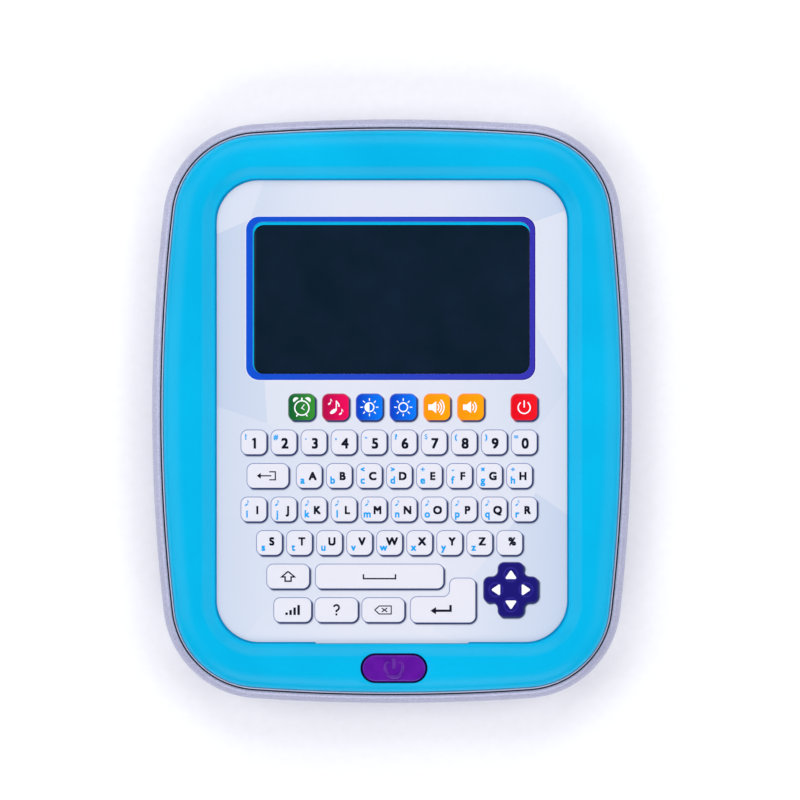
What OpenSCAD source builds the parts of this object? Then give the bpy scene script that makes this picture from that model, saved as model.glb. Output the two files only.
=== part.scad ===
// Learning tablet for a child: a flat slab with a display window, a one-piece embossed membrane
// keypad and a sprung power button, in a two-part housing with a battery bay in its back.
// Millimetres. The tablet lies on its back: +Z points up out of the keypad, +Y towards the display
// end, and the origin is under the middle of the tablet on the surface that it rests on.

/* [Housing outline] */
// Width across the bowed long sides
body_w = 192.4; // [188:0.2:232]
// Length across the bowed ends
body_l = 234; // [230:0.5:282]
// Radius of the bow of the long sides
side_r = 700; // [500:10:1200]
// Radius of the bow of the two ends
end_r = 800; // [600:10:1400]
// Radius of the four corners
corner_r = 39; // [34:0.5:46]

/* [Housing heights] */
// Height of the back's flat underside above the resting surface
back_z = 1.2; // [0.8:0.1:2]
// Height of the widest line of the back housing
belly_z = 14.2; // [13.4:0.1:18]
// Height of the back housing's top edge
rim_z = 20; // [19.6:0.1:24]
// Height of the joint plane where the front bezel stands on the trim ring
joint_z = 19.4; // [19:0.1:23.4]
// Rise of the bezel's crown above the joint plane
crown_h = 6.8; // [6:0.1:9]
// Wall thickness of both mouldings
wall = 2.2; // [1.8:0.1:2.6]

/* [Bezel and panel] */
// Width of the silver rim seen from above
rim_w = 3.3; // [2.6:0.1:4.5]
// Open seam between rim and trim ring
seam_gap = 0.5; // [0.3:0.05:0.9]
// Width of the trim ring's visible lip
trim_w = 0.9; // [0.6:0.1:1.6]
// Width of the bezel beside the panel
side_strip = 20.7; // [18:0.1:26]
// Width of the bezel above and below the panel
end_strip = 19.3; // [17:0.1:26]
// Corner radius of the recessed panel
panel_r = 17; // [12:0.5:22]
// Width of the dished slope around the panel
dish_w = 5.4; // [4:0.1:7]
// Depth of the dished slope
dish_h = 2.1; // [1.4:0.1:2.6]
// Gap between the printed film and the panel's wall
film_gap = 0.8; // [0.4:0.1:1.2]

/* [Display] */
// Width of the display window
lens_w = 110; // [90:0.5:118]
// Height of the display window
lens_l = 59.4; // [45:0.2:62]
// Distance from the panel's centre to the window's centre
lens_y = 44.6; // [42:0.2:52]
// Corner radius of the window
lens_r = 4; // [2:0.5:8]

/* [Keypad] */
// Distance from one letter key to the next
key_pitch = 12; // [11:0.1:12.6]
// Width of a letter key
key_w = 10.2; // [8.5:0.1:10.6]
// Length of a letter key
key_l = 9.8; // [8:0.1:10.6]
// Corner radius of a key
key_r = 2.6; // [1.5:0.1:3.2]
// Height that a key is embossed above the film
key_rise = 0.35; // [0.2:0.05:0.6]
// Thickness of the printed film
film_t = 0.4; // [0.3:0.05:0.6]
// Thickness of each sheet of the membrane switch under the film
sheet_t = 0.2; // [0.15:0.05:0.3]

/* [Power button] */
// Width of the power button
button_w = 25.5; // [20:0.1:31]
// Breadth of the power button
button_l = 10.7; // [9:0.1:11.4]
// Gap round the power button
button_gap = 0.6; // [0.4:0.05:0.8]
// Travel of the power button
button_travel = 1.2; // [0.8:0.1:1.5]

/* [Battery bay] */
// Diameter of a cell
cell_d = 14.2; // [13.4:0.1:14.4]
// Length of a cell with its terminal
cell_len = 50.4; // [44:0.1:52]
// Distance from one cell to the next
cell_pitch = 15.1; // [14.8:0.1:16]
// Distance from the tablet's middle to the bay's middle, towards the keypad end
bay_y = 36; // [34:0.5:40]
// Angle that the battery door opens to
door_open = 45; // [20:5:60]
// Gap round the battery door
door_gap = 0.4; // [0.3:0.05:0.6]
// Thickness of the battery door
door_t = 1.6; // [1.2:0.1:1.8]

/* [Speaker] */
// Diameter of the loudspeaker
speaker_d = 40; // [32:1:44]
// Diameter of a hole in the speaker grille
grille_d = 2.2; // [1.6:0.1:3]
// Distance between the rings of grille holes
grille_pitch = 4.6; // [3.6:0.1:6]
// Rings of grille holes round the middle one
grille_rings = 3; // [2:1:3]

/* [Fasteners] */
// Shank radius of a housing screw
screw_r = 1.3; // [1.1:0.05:1.5]
// Radial clearance of a screw in its boss
screw_gap = 0.05; // [0.03:0.01:0.1]
// Head radius of a housing screw
head_r = 2.7; // [2.4:0.1:3]
// Head height of a housing screw
head_h = 2; // [1.6:0.1:2.2]

/* [Hidden] */

$fn = 48;
side_n = 3;      // straight steps along half a side of an outline
corner_n = 12;   // steps round a corner of an outline
round_n = 5;     // steps along a rounded edge in a profile
fine = 0.1;      // overshoot of a cut
fit = 0.15;      // clearance between pieces that are assembled once
rib_t = 1.2;     // thickness of a stiffening rib

// Plan of the housing: distances d are measured inwards from the widest outline
half_w = body_w / 2;
half_l = body_l / 2;
seam_d = rim_w + seam_gap;
bezel_d = seam_d + trim_w + 0.1;
crown_d = bezel_d + 8.5;
panel_w = body_w - 2 * (bezel_d + side_strip);
panel_l = body_l - 2 * (bezel_d + end_strip);
side_c = [half_w - side_r, 0];
end_c = [0, half_l - end_r];
corner_c = crossing(side_c, side_r - corner_r, end_c, end_r - corner_r);
side_a = atan2(corner_c.y - side_c.y, corner_c.x - side_c.x);
end_a = atan2(corner_c.y - end_c.y, corner_c.x - end_c.x);

// Back housing section
belly_d = 16;
floor_z = back_z + wall;
ledge_z = joint_z - 1;
ledge_d = bezel_d + 0.8;
trim_flange_d = bezel_d + 1.8;

// Front bezel section
edge_z = joint_z + 1.6;
crown_z = joint_z + crown_h;
lip_z = crown_z - dish_h;
deck_t = 2.6;
deck_z = joint_z + deck_t;
pocket_d = 3 * sheet_t;
film_z = deck_z + film_t;

// Film, and the keypad field under it
film_w = panel_w - 2 * film_gap;
film_l = panel_l - 2 * film_gap;
film_tab_w = 60.8;
window_shift = [-0.3, 0.7];
window_grow = [0.7, 1.4];
field_w = panel_w - 9;
field_y = [-panel_l / 2 + 4.2, 8.6];
field_c = [0, (field_y[0] + field_y[1]) / 2];
field_l = field_y[1] - field_y[0];
field_r = panel_r - 5;
slot_reach = 1.8;

// Rows of keys; a wide key is given by its centre along the row and its width
row_pitch = 13.4;
row_y = [for (k = [0 : 5]) -12.4 - row_pitch * k];
grid_x = -4.6 * key_pitch;
leave_key = [-49.6, 16.6];
second_row_x = -33.1;
fourth_row_x = -49;
shift_key = [-41.5, 17];
space_key = [-5, 51.2];
level_key = [-39.7, 15];
help_key = [-22.2, 17.2];
delete_key = [-3.5, 17];
enter_key = [20.4, 26.1];
enter_arm = [28.2, -75.5];
enter_arm_l = 17.6;
enter_l = 10.4;
function_y = 1.6;
function_w = 10.6;
function_pitch = 13.5;
function_x = -36;
power_key_x = 52.8;
arrow_c = [47.5, -71.3];
arrow_w = 21.8;
arrow_arm = 10.3;
arrow_at = 6.3;
arrow_dome_r = 3;
contact_r = 3;
arrow_contact_r = 2.4;
key_soft = 0.5;

// Display stack, from the lens down to the main board
flange_t = 1;
glass_t = 2.4;
strip_t = 1.4;
board_t = 1.6;
lens_flange = 3;
lens_top = deck_z - 0.4;
glass_top = joint_z - flange_t;
glass_z = glass_top - glass_t;
board_top = glass_z - strip_t;
board_z = board_top - board_t;
holder_w = lens_w + 8;
holder_l = lens_l + 7;
holder_r = 2;
glass_over = 2;
glass_step = 1.4;
strip_w = 2;
strip_in = 4.2;
strip_l = lens_w - 10;
board_w = holder_w + 12;
board_y = [0, lens_y + holder_l / 2 + 4.6];
board_c = [0, (board_y[0] + board_y[1]) / 2];
board_r = 2;
board_boss = [board_w / 2 - 3.2, 3.4];

// Membrane tail and its connector
tail_w = 20;
tail_x = -(board_w / 2 - 26);
tail_drop_y = field_y[1] + 1.2;
tail_bend = 0.6;
connector_y = 2;
connector_w = tail_w + 5;
connector_l = 4.6;
connector_h = 2.4;
connector_slot_z = board_top + 1.1;

// Parts under the main board
can_x = [40, 47.5];
can_y = 16;
can_r = 2.5;
can_h = 6.4;
crystal_c = [28, 12];
crystal_size = [8, 3.4, 3.4];
resistor_c = [4, 58];
resistor_size = [3, 1.5, 0.8];
resistor_pitch = 4.2;
diode_c = [40, 46];
diode_size = [1.6, 3, 1.1];
diode_pitch = 5;
chip_c = [20, 34];
chip_r = 7;
chip_h = 1.6;

// Screw posts
post_r = 4.5;
boss_r = 3.4;
post_d = 14;
post_top = 15;
seat_z = 11;
screw_tip = joint_z + 1.6;
corner_dir = [cos(45), sin(45)];
corner_post = corner_c + (corner_r - post_d) * corner_dir;
posts = [
    for (sx = [-1, 1], sy = [-1, 1]) [sx * corner_post.x, sy * corner_post.y],
    for (sx = [-1, 1]) [sx * (half_w - post_d), 4]
];

// Power button
button_c = [0.8, -(half_l - bezel_d - end_strip / 2)];
collar_w = 1.4;
collar_z = joint_z + 1;
button_top = crown_z;
button_flange = 1.2;
button_edge = 1.3;
button_crown = 0.35;
button_wall = 1.5;
flange_top = collar_z - 0.3;
flange_h = 1.4;
dome_h = button_travel + 1.1;
dome_t = 0.8;
switch_z = 13;
switch_t = 1.2;
switch_top = switch_z + switch_t;
dome_top = switch_top + dome_h;
stem_r = 2.5;
switch_w = 50;
switch_l = 10.4;
switch_boss_x = 21.6;
switch_boss_r = 2.4;
small_screw_r = 1;
small_head_r = 2;
small_head_h = 1.3;
collar_lap = wall / 2;

// Battery bay: cells lie along X, side by side along Y
cells = 3;
plate_t = 0.4;
spring_len = 7.2;
bay_w = cell_len + spring_len + 2 * plate_t;
bay_l = cells * cell_pitch + 0.9;
bay_wall = 1.6;
cell_r = cell_d / 2;
cell_z = back_z + door_t + 0.25 + cell_r;
bay_top = cell_z + cell_r + 0.35;
tag_w = 3;
tag_l = 4;
tag_z = bay_top - 3;
tag_x = bay_w / 2 + 1.4;
roof_z = joint_z - 0.4;
bay_c = [0, -bay_y];
nub_r = 2.7;
nub_h = 1.2;
contact_w = 11;
contact_rise = 5.4;
spring_r = [5, 3.4];
spring_wire_r = 0.4;
spring_turns = 3;
door_seat = back_z + door_t + fit;
door_w = bay_w + 4.8;
door_y0 = -bay_y - bay_l / 2 - bay_wall - 1.8;
door_y1 = -bay_y + bay_l / 2 + 3;
tongue_w = 17;
tongue_l = 8.6;
door_r = 3;
mouth_wall = 1.8;
mouth_top = floor_z + 1.4;
tongue_end = door_y1 + tongue_l;
tongue_roof = back_z + 3.8;
door_screw_y = tongue_end - 5.2;
door_screw_r = 1.25;
door_screw_play = 0.35;
door_head_h = 1.7;
door_boss_r = 4.2;
door_boss_h = 3;
door_rib_h = 1.2;
door_mid = [0, (door_y0 + door_y1) / 2];
door_l = door_y1 - door_y0;
tongue_c = [0, (door_y1 + tongue_end) / 2 - 1];
grip_n = 5;
grip_pitch = 2.4;
grip_w = 22;
grip_h = 0.4;
door_screw_seat = back_z + 2;
door_screw_tip = back_z + 6.4;
tab_w = 10;
tab_x = 18;
tab_reach = 2.6;
tab_z = floor_z + 0.2;
tab_t = 1.4;
tab_riser = 1.2;
tab_swing = (tab_z + tab_t - back_z) * sin(door_open) + 1.6;
tab_slot_z = tab_z + tab_t + 1.2;
hinge_y = door_y0 - door_gap;

// Speaker
speaker_c = [-30, 50];
gasket_t = 0.6;
speaker_z = floor_z + gasket_t;
speaker_r = speaker_d / 2;
basket_flange_t = 1.2;
basket_h = 5.2;
frame_t = 0.8;
frame_hole_r = 6;
frame_window_r = 2.4;
magnet_r = 11;
magnet_h = 3;
frame_window_at = (magnet_r + speaker_r) / 2 - 1.3;
cone_t = 0.4;
cap_r = 3.2;
cap_z = 1.6;
neck_r = 4.6;
neck_z = 3.2;
seat_gap = 0.3;
seat_wall = 1.4;
clamp_r = 3.3;
speaker_top = speaker_z + basket_h;
speaker_boss_r = 2.2;
speaker_boss_at = speaker_r + speaker_boss_r + 0.4;
speaker_screw_n = 3;
speaker_tip = 2.2;

// Leads: radius, rise at each end, and the level that they run at
lead_r = 0.65;
thin_lead_r = 0.5;
lead_bend = 1.5;
lead_z = 10;
speaker_lead_a = [-42, -26];
speaker_lead_end = [[-6, 34], [-3, 38]];
switch_lead_start = [[-17, -99.8], [-15, -99.8]];
switch_lead_run = [[-37.4, -68, -6], [-35.8, -67, -5]];
battery_lead_end = [33, 4];

// Feet
foot_r = 6;
foot_edge = 0.4;
foot_sink = 0.8;
foot_d = 27;
foot_c = corner_c + (corner_r - foot_d) * corner_dir;

// Colours of the mouldings and parts
silver = [0.8, 0.81, 0.86];
pale_silver = [0.84, 0.86, 0.91];
cyan = [0, 0.72, 0.91];
film_white = [0.92, 0.93, 0.96];
clear_film = [0.85, 0.87, 0.84];
white = [0.9, 0.9, 0.9];
cream = [0.88, 0.85, 0.76];
dark = [0.06, 0.13, 0.19];
glass_grey = [0.35, 0.42, 0.42];
purple = [0.35, 0.08, 0.59];
green = [0.06, 0.42, 0.22];
metal = [0.78, 0.78, 0.8];
sleeve = [0.25, 0.27, 0.3];
silicone = [0.75, 0.76, 0.78];
contact_grey = [0.45, 0.45, 0.5];
red = [0.75, 0.08, 0.1];
yellow = [0.9, 0.75, 0.15];
paper = [0.2, 0.2, 0.22];
black = [0.09, 0.09, 0.1];

// Where two circles cross, on the left of the line from the first centre to the second
function crossing(c1, r1, c2, r2) =
    let (v = c2 - c1, dist = norm(v), u = v / dist)
    let (a = (r1 * r1 - r2 * r2 + dist * dist) / (2 * dist), h = sqrt(r1 * r1 - a * a))
    c1 + a * u + h * [-u.y, u.x];

// Points along an arc without its last one
function arc(c, r, a0, a1, n) =
    [for (i = [0 : n - 1]) let (a = a0 + (a1 - a0) * i / n) c + r * [cos(a), sin(a)]];

// First quarter of the bowed outline, d inside the widest one
function bow_quarter(d) = concat(
    arc(side_c, side_r - d, 0, side_a, side_n),
    arc(corner_c, corner_r - d, side_a, end_a, corner_n),
    arc(end_c, end_r - d, end_a, 90, side_n),
    [[0, half_l - d]]
);

// First quarter of a rounded rectangle with half sizes w and l
function round_quarter(w, l, r, sn, cn) = concat(
    [for (i = [0 : sn - 1]) [w, (l - r) * i / sn]],
    arc([w - r, l - r], r, 0, 90, cn),
    [for (i = [0 : sn - 1]) [(w - r) * (1 - i / sn), l]],
    [[0, l]]
);

// A whole outline from its first quarter, whose ends lie on the two axes
function whole(q) =
    let (m = len(q) - 1)
    concat(
        [for (i = [0 : m - 1]) q[i]],
        [for (i = [0 : m - 1]) [-q[m - i].x, q[m - i].y]],
        [for (i = [0 : m - 1]) -q[i]],
        [for (i = [0 : m - 1]) [q[m - i].x, -q[m - i].y]]
    );

function lift(outline, z) = [for (p = outline) [p.x, p.y, z]];

// Ring of the bowed outline at height z, and ring e outside the panel's outline
function bow_ring(d, z) = lift(whole(bow_quarter(d)), z);
function panel_ring(e, z) =
    lift(whole(round_quarter(panel_w / 2 + e, panel_l / 2 + e, panel_r + e, side_n, corner_n)), z);

// Rings of the bowed outline along an elliptic edge: centre, half axes and angles in section
function edge_rings(c, a, b, t0, t1, n) =
    [for (i = [0 : n]) let (t = t0 + (t1 - t0) * i / n) bow_ring(c.x - a * cos(t), c.y + b * sin(t))];

function middle(ring) = [for (p = ring) 1] * ring / len(ring);

// Skin through rings of equal count. The rings run outwards below, up outside and inwards above,
// and the first and last are closed by fans about their middles.
module loft(rings, capped = true) {
    n = len(rings[0]);
    m = len(rings);
    last = capped ? m - 2 : m - 1;
    function id(i, j) = (i % m) * n + j % n;
    sides = [
        for (i = [0 : last], j = [0 : n - 1])
            each [[id(i, j), id(i + 1, j), id(i + 1, j + 1)], [id(i, j), id(i + 1, j + 1), id(i, j + 1)]]
    ];
    fans = [
        for (j = [0 : n - 1])
            each [[m * n, id(0, j), id(0, j + 1)], [m * n + 1, id(m - 1, j + 1), id(m - 1, j)]]
    ];
    points = [for (r = rings) each r];
    if (capped)
        polyhedron(concat(points, [middle(rings[0]), middle(rings[m - 1])]), concat(sides, fans));
    else
        polyhedron(points, sides);
}

function unit(v) = v / norm(v);

// Round tube of radius r along a route; across is a level direction square to most of the route
module tube(route, r, across) {
    last = len(route) - 1;
    sides = 8;
    function step(i) = unit(route[i + 1] - route[i]);
    function way(i) = unit(step(min(i, last - 1)) + step(max(i - 1, 0)));
    function ring(i) =
        let (u = unit(across - (across * way(i)) * way(i)), v = cross(u, way(i)))
        [for (j = [0 : sides - 1]) let (a = 360 * j / sides) route[i] + r * (cos(a) * u + sin(a) * v)];
    loft([for (i = [0 : last]) ring(i)]);
}

// Route of a lead from a to b: straight off both ends, and along a run of plan points at height z
function lead_route(a, b, z, run = []) =
    let (
        level = [for (p = run) [p.x, p.y, z]],
        plan_a = [a.x, a.y, z],
        plan_b = [b.x, b.y, z],
        next = len(run) > 0 ? level[0] : plan_b,
        before = len(run) > 0 ? level[len(run) - 1] : plan_a
    )
    concat(
        [a, a + [0, 0, lead_bend * sign(z - a.z)], plan_a + lead_bend * unit(next - plan_a)],
        level,
        [plan_b + lead_bend * unit(before - plan_b), b - [0, 0, lead_bend], b]
    );

function across_way(a, b) = unit([a.y - b.y, b.x - a.x, 0]);

// Rounded rectangle, centred
module plate2d(w, l, r) {
    square([w - 2 * r, l], center = true);
    square([w, l - 2 * r], center = true);
    for (sx = [-1, 1], sy = [-1, 1])
        translate([sx * (w / 2 - r), sy * (l / 2 - r)])
            circle(r);
}

module plate(c, z0, z1, w, l, r) {
    translate([c.x, c.y, z0])
        linear_extrude(z1 - z0)
            plate2d(w, l, r);
}

// Box by its middle in plan and its two heights
module block(c, z0, z1, w, l) {
    translate([c.x - w / 2, c.y - l / 2, z0])
        cube([w, l, z1 - z0]);
}

// Round bar between two heights
module post(c, z0, z1, r) {
    translate([c.x, c.y, z0])
        cylinder(h = z1 - z0, r = r);
}

// Stadium, w long and l broad
module stadium2d(w, l) {
    square([w - l, l], center = true);
    for (sx = [-1, 1])
        translate([sx * (w - l) / 2, 0])
            circle(l / 2);
}

module stadium(c, z0, z1, w, l) {
    translate([c.x, c.y, z0])
        linear_extrude(z1 - z0)
            stadium2d(w, l);
}

// Self-tapping screw, head down: seat height, tip height, shank and head
module screw(c, seat, tip, r, hr, hh) {
    translate([c.x, c.y, seat - hh])
        difference() {
            rotate_extrude()
                polygon([
                    [0, 0], [hr * 0.8, 0], [hr, hh * 0.35], [hr, hh], [r, hh], [r, tip - seat + hh - r],
                    [0, tip - seat + hh]
                ]);
            for (a = [0, 90])
                rotate([0, 0, a])
                    block([0, 0], -fine, hh * 0.45, hr * 1.1, hr * 0.24);
        }
}

// ---- Housing ----

module back_housing() {
    color(silver)
        difference() {
            union() {
                difference() {
                    back_shell();
                    door_mouth_cut();
                }
                battery_bay();
                for (p = posts)
                    post(p, floor_z - wall / 2, post_top, post_r);
                speaker_seat();
                floor_ribs();
            }
            for (p = posts) {
                post(p, -fine, seat_z, head_r + 0.5);
                post(p, seat_z - fine, post_top + fine, screw_r + 0.3);
            }
            grille_holes();
            for (i = [1 : speaker_screw_n])
                post(speaker_hole(i), floor_z - 0.8, speaker_z + 2, small_screw_r + screw_gap);
            for (sx = [-1, 1], sy = [-1, 1])
                post([sx * foot_c.x, sy * foot_c.y], -fine, back_z + foot_sink, foot_r + fit);
        }
}

// Bowl with an elliptic belly, a rolled rim and the ledge that carries the trim ring
module back_shell() {
    belly = [belly_d, belly_z];
    loft(concat(
        edge_rings(belly, belly_d, back_z - belly_z, 90, 0, round_n + 2),
        edge_rings([rim_w, belly_z], rim_w, rim_z - belly_z, 15, 90, round_n),
        [
            bow_ring(seam_d - 0.2, rim_z - 0.3), bow_ring(seam_d - 0.2, ledge_z),
            bow_ring(ledge_d, ledge_z), bow_ring(ledge_d, ledge_z - 1.2), bow_ring(wall + 0.4, belly_z + 1)
        ],
        edge_rings(belly, belly_d - wall, floor_z - belly_z, 5, 90, round_n + 1)
    ));
}

// Opening in the floor for the battery door and its tongue
module door_mouth_cut() {
    door_outline(-fine, floor_z + fine, door_gap);
}

module door_outline(z0, z1, grow) {
    plate(door_mid, z0, z1, door_w + 2 * grow, door_l + 2 * grow, door_r);
    block(tongue_c, z0, z1, tongue_w + 2 * grow, tongue_l + 2 + 2 * grow);
}

// Walls and roof of the bay, its mouth, the seat under the door's tongue and the slots for its tabs
module battery_bay() {
    frame_w = 2 * (door_gap + mouth_wall);
    difference() {
        union() {
            plate(door_mid, back_z, mouth_top, door_w + frame_w, door_l + frame_w, door_r + mouth_wall);
            block(bay_c, back_z, roof_z, bay_w + 2 * bay_wall, bay_l + 2 * bay_wall);
            block(tongue_c, back_z, tongue_roof + bay_wall, tongue_w + frame_w, tongue_l + 2 + frame_w);
            post([0, door_screw_y], tongue_roof, door_screw_tip + 2.4, door_boss_r);
        }
        door_outline(-fine, door_seat, door_gap);
        block(tongue_c + [0, 0.4], -fine, tongue_roof, tongue_w + 2 * door_gap,
            tongue_l + 1.2 + 2 * door_gap);
        block(bay_c, -fine, bay_top, bay_w, bay_l);
        post([0, door_screw_y], -fine, door_screw_tip + 1, door_screw_r + door_screw_play);
        for (sx = [-1, 1]) {
            block([sx * tab_x, hinge_y - tab_reach / 2], floor_z, tab_slot_z, tab_w + 1, tab_reach + 0.8);
            block([sx * tab_x, hinge_y + tab_swing / 2], -fine, tab_slot_z, tab_w + 1, tab_swing);
        }
        for (p = tag_places())
            block([p.x * (bay_w / 2 + bay_wall / 2), p.y], tag_z - 0.2, tag_z + plate_t + 0.2,
                bay_wall + 2 * fine, tag_w + 0.4);
    }
}

// Ring and bosses that hold the loudspeaker over its grille
module speaker_seat() {
    difference() {
        post(speaker_c, floor_z - fine, speaker_z + 0.8, speaker_r + seat_gap + seat_wall);
        post(speaker_c, floor_z - 2 * fine, speaker_z + 1, speaker_r + seat_gap);
    }
    for (i = [1 : speaker_screw_n])
        post(speaker_hole(i), floor_z - fine, speaker_z + basket_flange_t, speaker_boss_r);
}

function speaker_hole(i) =
    let (a = 360 * i / speaker_screw_n + 30)
    speaker_c + speaker_boss_at * [cos(a), sin(a)];

module grille_holes() {
    post(speaker_c, -fine, floor_z + fine, grille_d / 2);
    for (k = [1 : grille_rings], i = [1 : 6 * k])
        post(speaker_c + k * grille_pitch * [cos(60 * i / k), sin(60 * i / k)], -fine, floor_z + fine,
            grille_d / 2);
}

// Stiffening ribs on the floor, beside and below the bay and along the display end
module floor_ribs() {
    rib_top = floor_z + 2.4;
    pitch = 12;
    long_x = half_w - 4 * pitch;
    low_y = -bay_y - bay_l / 2 - pitch - 2;
    for (sx = [-1, 1])
        block([sx * long_x, -bay_y], floor_z - fine, rib_top, rib_t, bay_l + pitch);
    for (y = [low_y, low_y - pitch])
        block([0, y], floor_z - fine, rib_top, 2 * long_x, rib_t);
    for (x = [14 : 20 : 54])
        block([x, half_l / 2], floor_z - fine, rib_top, rib_t, half_l / 2);
}

// Thin ring clamped between the two mouldings, with its lip standing in the seam
module trim_ring() {
    lip_top = rim_z + 0.6;
    color(pale_silver)
        loft([
            bow_ring(trim_flange_d, ledge_z), bow_ring(seam_d, ledge_z), bow_ring(seam_d, lip_top - 0.3),
            bow_ring(seam_d + trim_w / 2, lip_top), bow_ring(seam_d + trim_w, lip_top - 0.3),
            bow_ring(seam_d + trim_w, joint_z), bow_ring(trim_flange_d, joint_z)
        ], capped = false);
}

// Crowned bezel, its dished slope down to the lip, and the deck that carries film and display
module front_bezel() {
    color(cyan)
        difference() {
            union() {
                bezel_shell();
                for (p = posts)
                    post(p, post_top + 0.2, crown_z - collar_lap, boss_r);
                button_collar();
                for (p = board_posts())
                    post(p, board_top, deck_z - 1, small_screw_r + 1.5);
                for (p = switch_posts())
                    post(p, switch_top, crown_z - collar_lap, switch_boss_r);
                deck_ribs();
            }
            plate([0, lens_y], joint_z - fine, deck_z + fine, lens_w + 2 * fit, lens_l + 2 * fit, lens_r);
            membrane_pocket_cut();
            block([tail_x, tail_drop_y], joint_z - fine, deck_z, tail_w + 1.6, slot_reach);
            stadium(button_c, collar_z - fine, crown_z + 1, button_w + 2 * button_gap,
                button_l + 2 * button_gap);
            for (p = posts)
                post(p, post_top, screw_tip + 0.6, screw_r + screw_gap);
            for (p = board_posts())
                post(p, board_top - fine, joint_z - 0.2, small_screw_r + screw_gap);
            for (p = switch_posts())
                post(p, switch_top - fine, switch_top + 5.2, small_screw_r + screw_gap);
        }
}

module bezel_shell() {
    crown = [crown_d, edge_z];
    rise = crown_z - edge_z;
    run = crown_d - bezel_d;
    loft(concat(
        [
            panel_ring(wall - 0.2, joint_z), panel_ring(wall - 0.2, lip_z - 2),
            panel_ring(dish_w + 0.2, crown_z - wall - 0.1)
        ],
        edge_rings(crown, run - wall, rise - wall, 90, 0, round_n - 1),
        [bow_ring(bezel_d + wall, joint_z), bow_ring(bezel_d, joint_z)],
        edge_rings(crown, run, rise, 0, 90, round_n + 2),
        dish_rings(),
        [panel_ring(0, lip_z - 0.4), panel_ring(0, deck_z)]
    ));
}

// Slope from the crown to the lip: a soft shoulder, a falling face and a rolled lip
function dish_rings() =
    let (n = round_n - 1)
    [for (i = [0 : n]) let (t = i / n) panel_ring(dish_w * (1 - t) + 0.4 * t, crown_z - dish_h * smooth(t))];

function smooth(t) = t * t * (3 - 2 * t) * 0.6 + t * 0.4;

module button_collar() {
    grow = 2 * (button_gap + collar_w);
    stadium(button_c, collar_z, crown_z - collar_lap, button_w + grow, button_l + grow);
}

// Sunk field for the membrane switch, and the film's tail slot beside it
module membrane_pocket_cut() {
    plate(field_c, deck_z - pocket_d, deck_z + fine, field_w + 1, field_l + 1, field_r);
    block([tail_x, field_y[1] + 0.8], deck_z - pocket_d, deck_z + fine, tail_w + 1.6, slot_reach + 0.8);
}

module deck_ribs() {
    drop = 3;
    beside = 8;
    step = 16;
    bay_x = bay_w / 2 + bay_wall + beside;
    low_y = -bay_y - bay_l / 2 - beside;
    for (sx = [-1, 1], x = [bay_x, bay_x + step])
        block([sx * x, -panel_l / 4], joint_z - drop, joint_z + fine, rib_t, panel_l / 2 - 14);
    for (y = [low_y, low_y - 12])
        block([0, y], joint_z - drop, joint_z + fine, 2 * (bay_x + step), rib_t);
}

function board_posts() =
    [for (sx = [-1, 1], y = [board_y[0] + board_boss.y, board_y[1] - board_boss.y]) [sx * board_boss.x, y]];

function switch_posts() = [for (sx = [-1, 1]) button_c + [sx * switch_boss_x, 0]];

// ---- Keypad ----

// Keys as centre x, centre y, width and length
function key_row(x, y, count) = [for (k = [0 : count - 1]) [x + key_pitch * k, y, key_w, key_l]];
function wide_key(k, y) = [k[0], y, k[1], key_l];
function function_key(x) = [x, function_y, function_w, function_w];
flat_keys = concat(
    [for (k = [0 : 5]) function_key(function_x + function_pitch * k)],
    [function_key(power_key_x)],
    key_row(grid_x, row_y[0], 10),
    [wide_key(leave_key, row_y[1])],
    key_row(second_row_x, row_y[1], 8),
    key_row(grid_x, row_y[2], 10),
    key_row(fourth_row_x, row_y[3], 9),
    [wide_key(shift_key, row_y[4]), wide_key(space_key, row_y[4])],
    [wide_key(level_key, row_y[5]), wide_key(help_key, row_y[5]), wide_key(delete_key, row_y[5])]
);
enter_keys = [
    [enter_key[0], row_y[5], enter_key[1], enter_l],
    [enter_arm.x, enter_arm.y, enter_l, enter_arm_l]
];
arrow_keys = [[arrow_c.x, arrow_c.y, arrow_w, arrow_arm], [arrow_c.x, arrow_c.y, arrow_arm, arrow_w]];

module keypad_film() {
    color(film_white) {
        difference() {
            union() {
                plate([0, 0], deck_z, film_z, film_w, film_l, panel_r - film_gap);
                block([0, -film_l / 2 + 1], deck_z, film_z, film_tab_w, 2 + 2 * (film_gap - fit));
            }
            plate([0, lens_y] + window_shift, deck_z - fine, film_z + fine, lens_w + window_grow.x,
                lens_l + window_grow.y, lens_r);
        }
        embossing();
    }
}

// Raised, soft-edged key fields of the film
module embossing() {
    for (k = concat(flat_keys, enter_keys, arrow_keys))
        raised_key(k);
    for (a = [0 : 90 : 270])
        translate([arrow_c.x + arrow_at * cos(a), arrow_c.y + arrow_at * sin(a), film_z + key_rise - fine])
            cylinder(h = fine + key_rise, r1 = arrow_dome_r, r2 = arrow_dome_r - 0.8);
}

module raised_key(k) {
    mid = [k[0], k[1]];
    hull() {
        plate(mid, film_z - fine, film_z, k[2], k[3], key_r, $fn = 12);
        plate(mid, film_z, film_z + key_rise, k[2] - 2 * key_soft, k[3] - 2 * key_soft, key_r - key_soft,
            $fn = 12);
    }
}

module field_sheet(z0, z1) {
    plate(field_c, z0, z1, field_w, field_l, field_r);
}

module membrane_top_sheet() {
    color(clear_film)
        field_sheet(deck_z - sheet_t, deck_z);
}

// Middle sheet, open under each key so that the two circuits can meet
module membrane_spacer() {
    color(white)
        difference() {
            field_sheet(deck_z - 2 * sheet_t, deck_z - sheet_t);
            for (k = concat(flat_keys, [enter_keys[0]]))
                post([k[0], k[1]], deck_z - pocket_d, deck_z, contact_r);
            for (a = [0 : 90 : 270])
                post(arrow_c + arrow_at * [cos(a), sin(a)], deck_z - pocket_d, deck_z, arrow_contact_r);
        }
}

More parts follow.
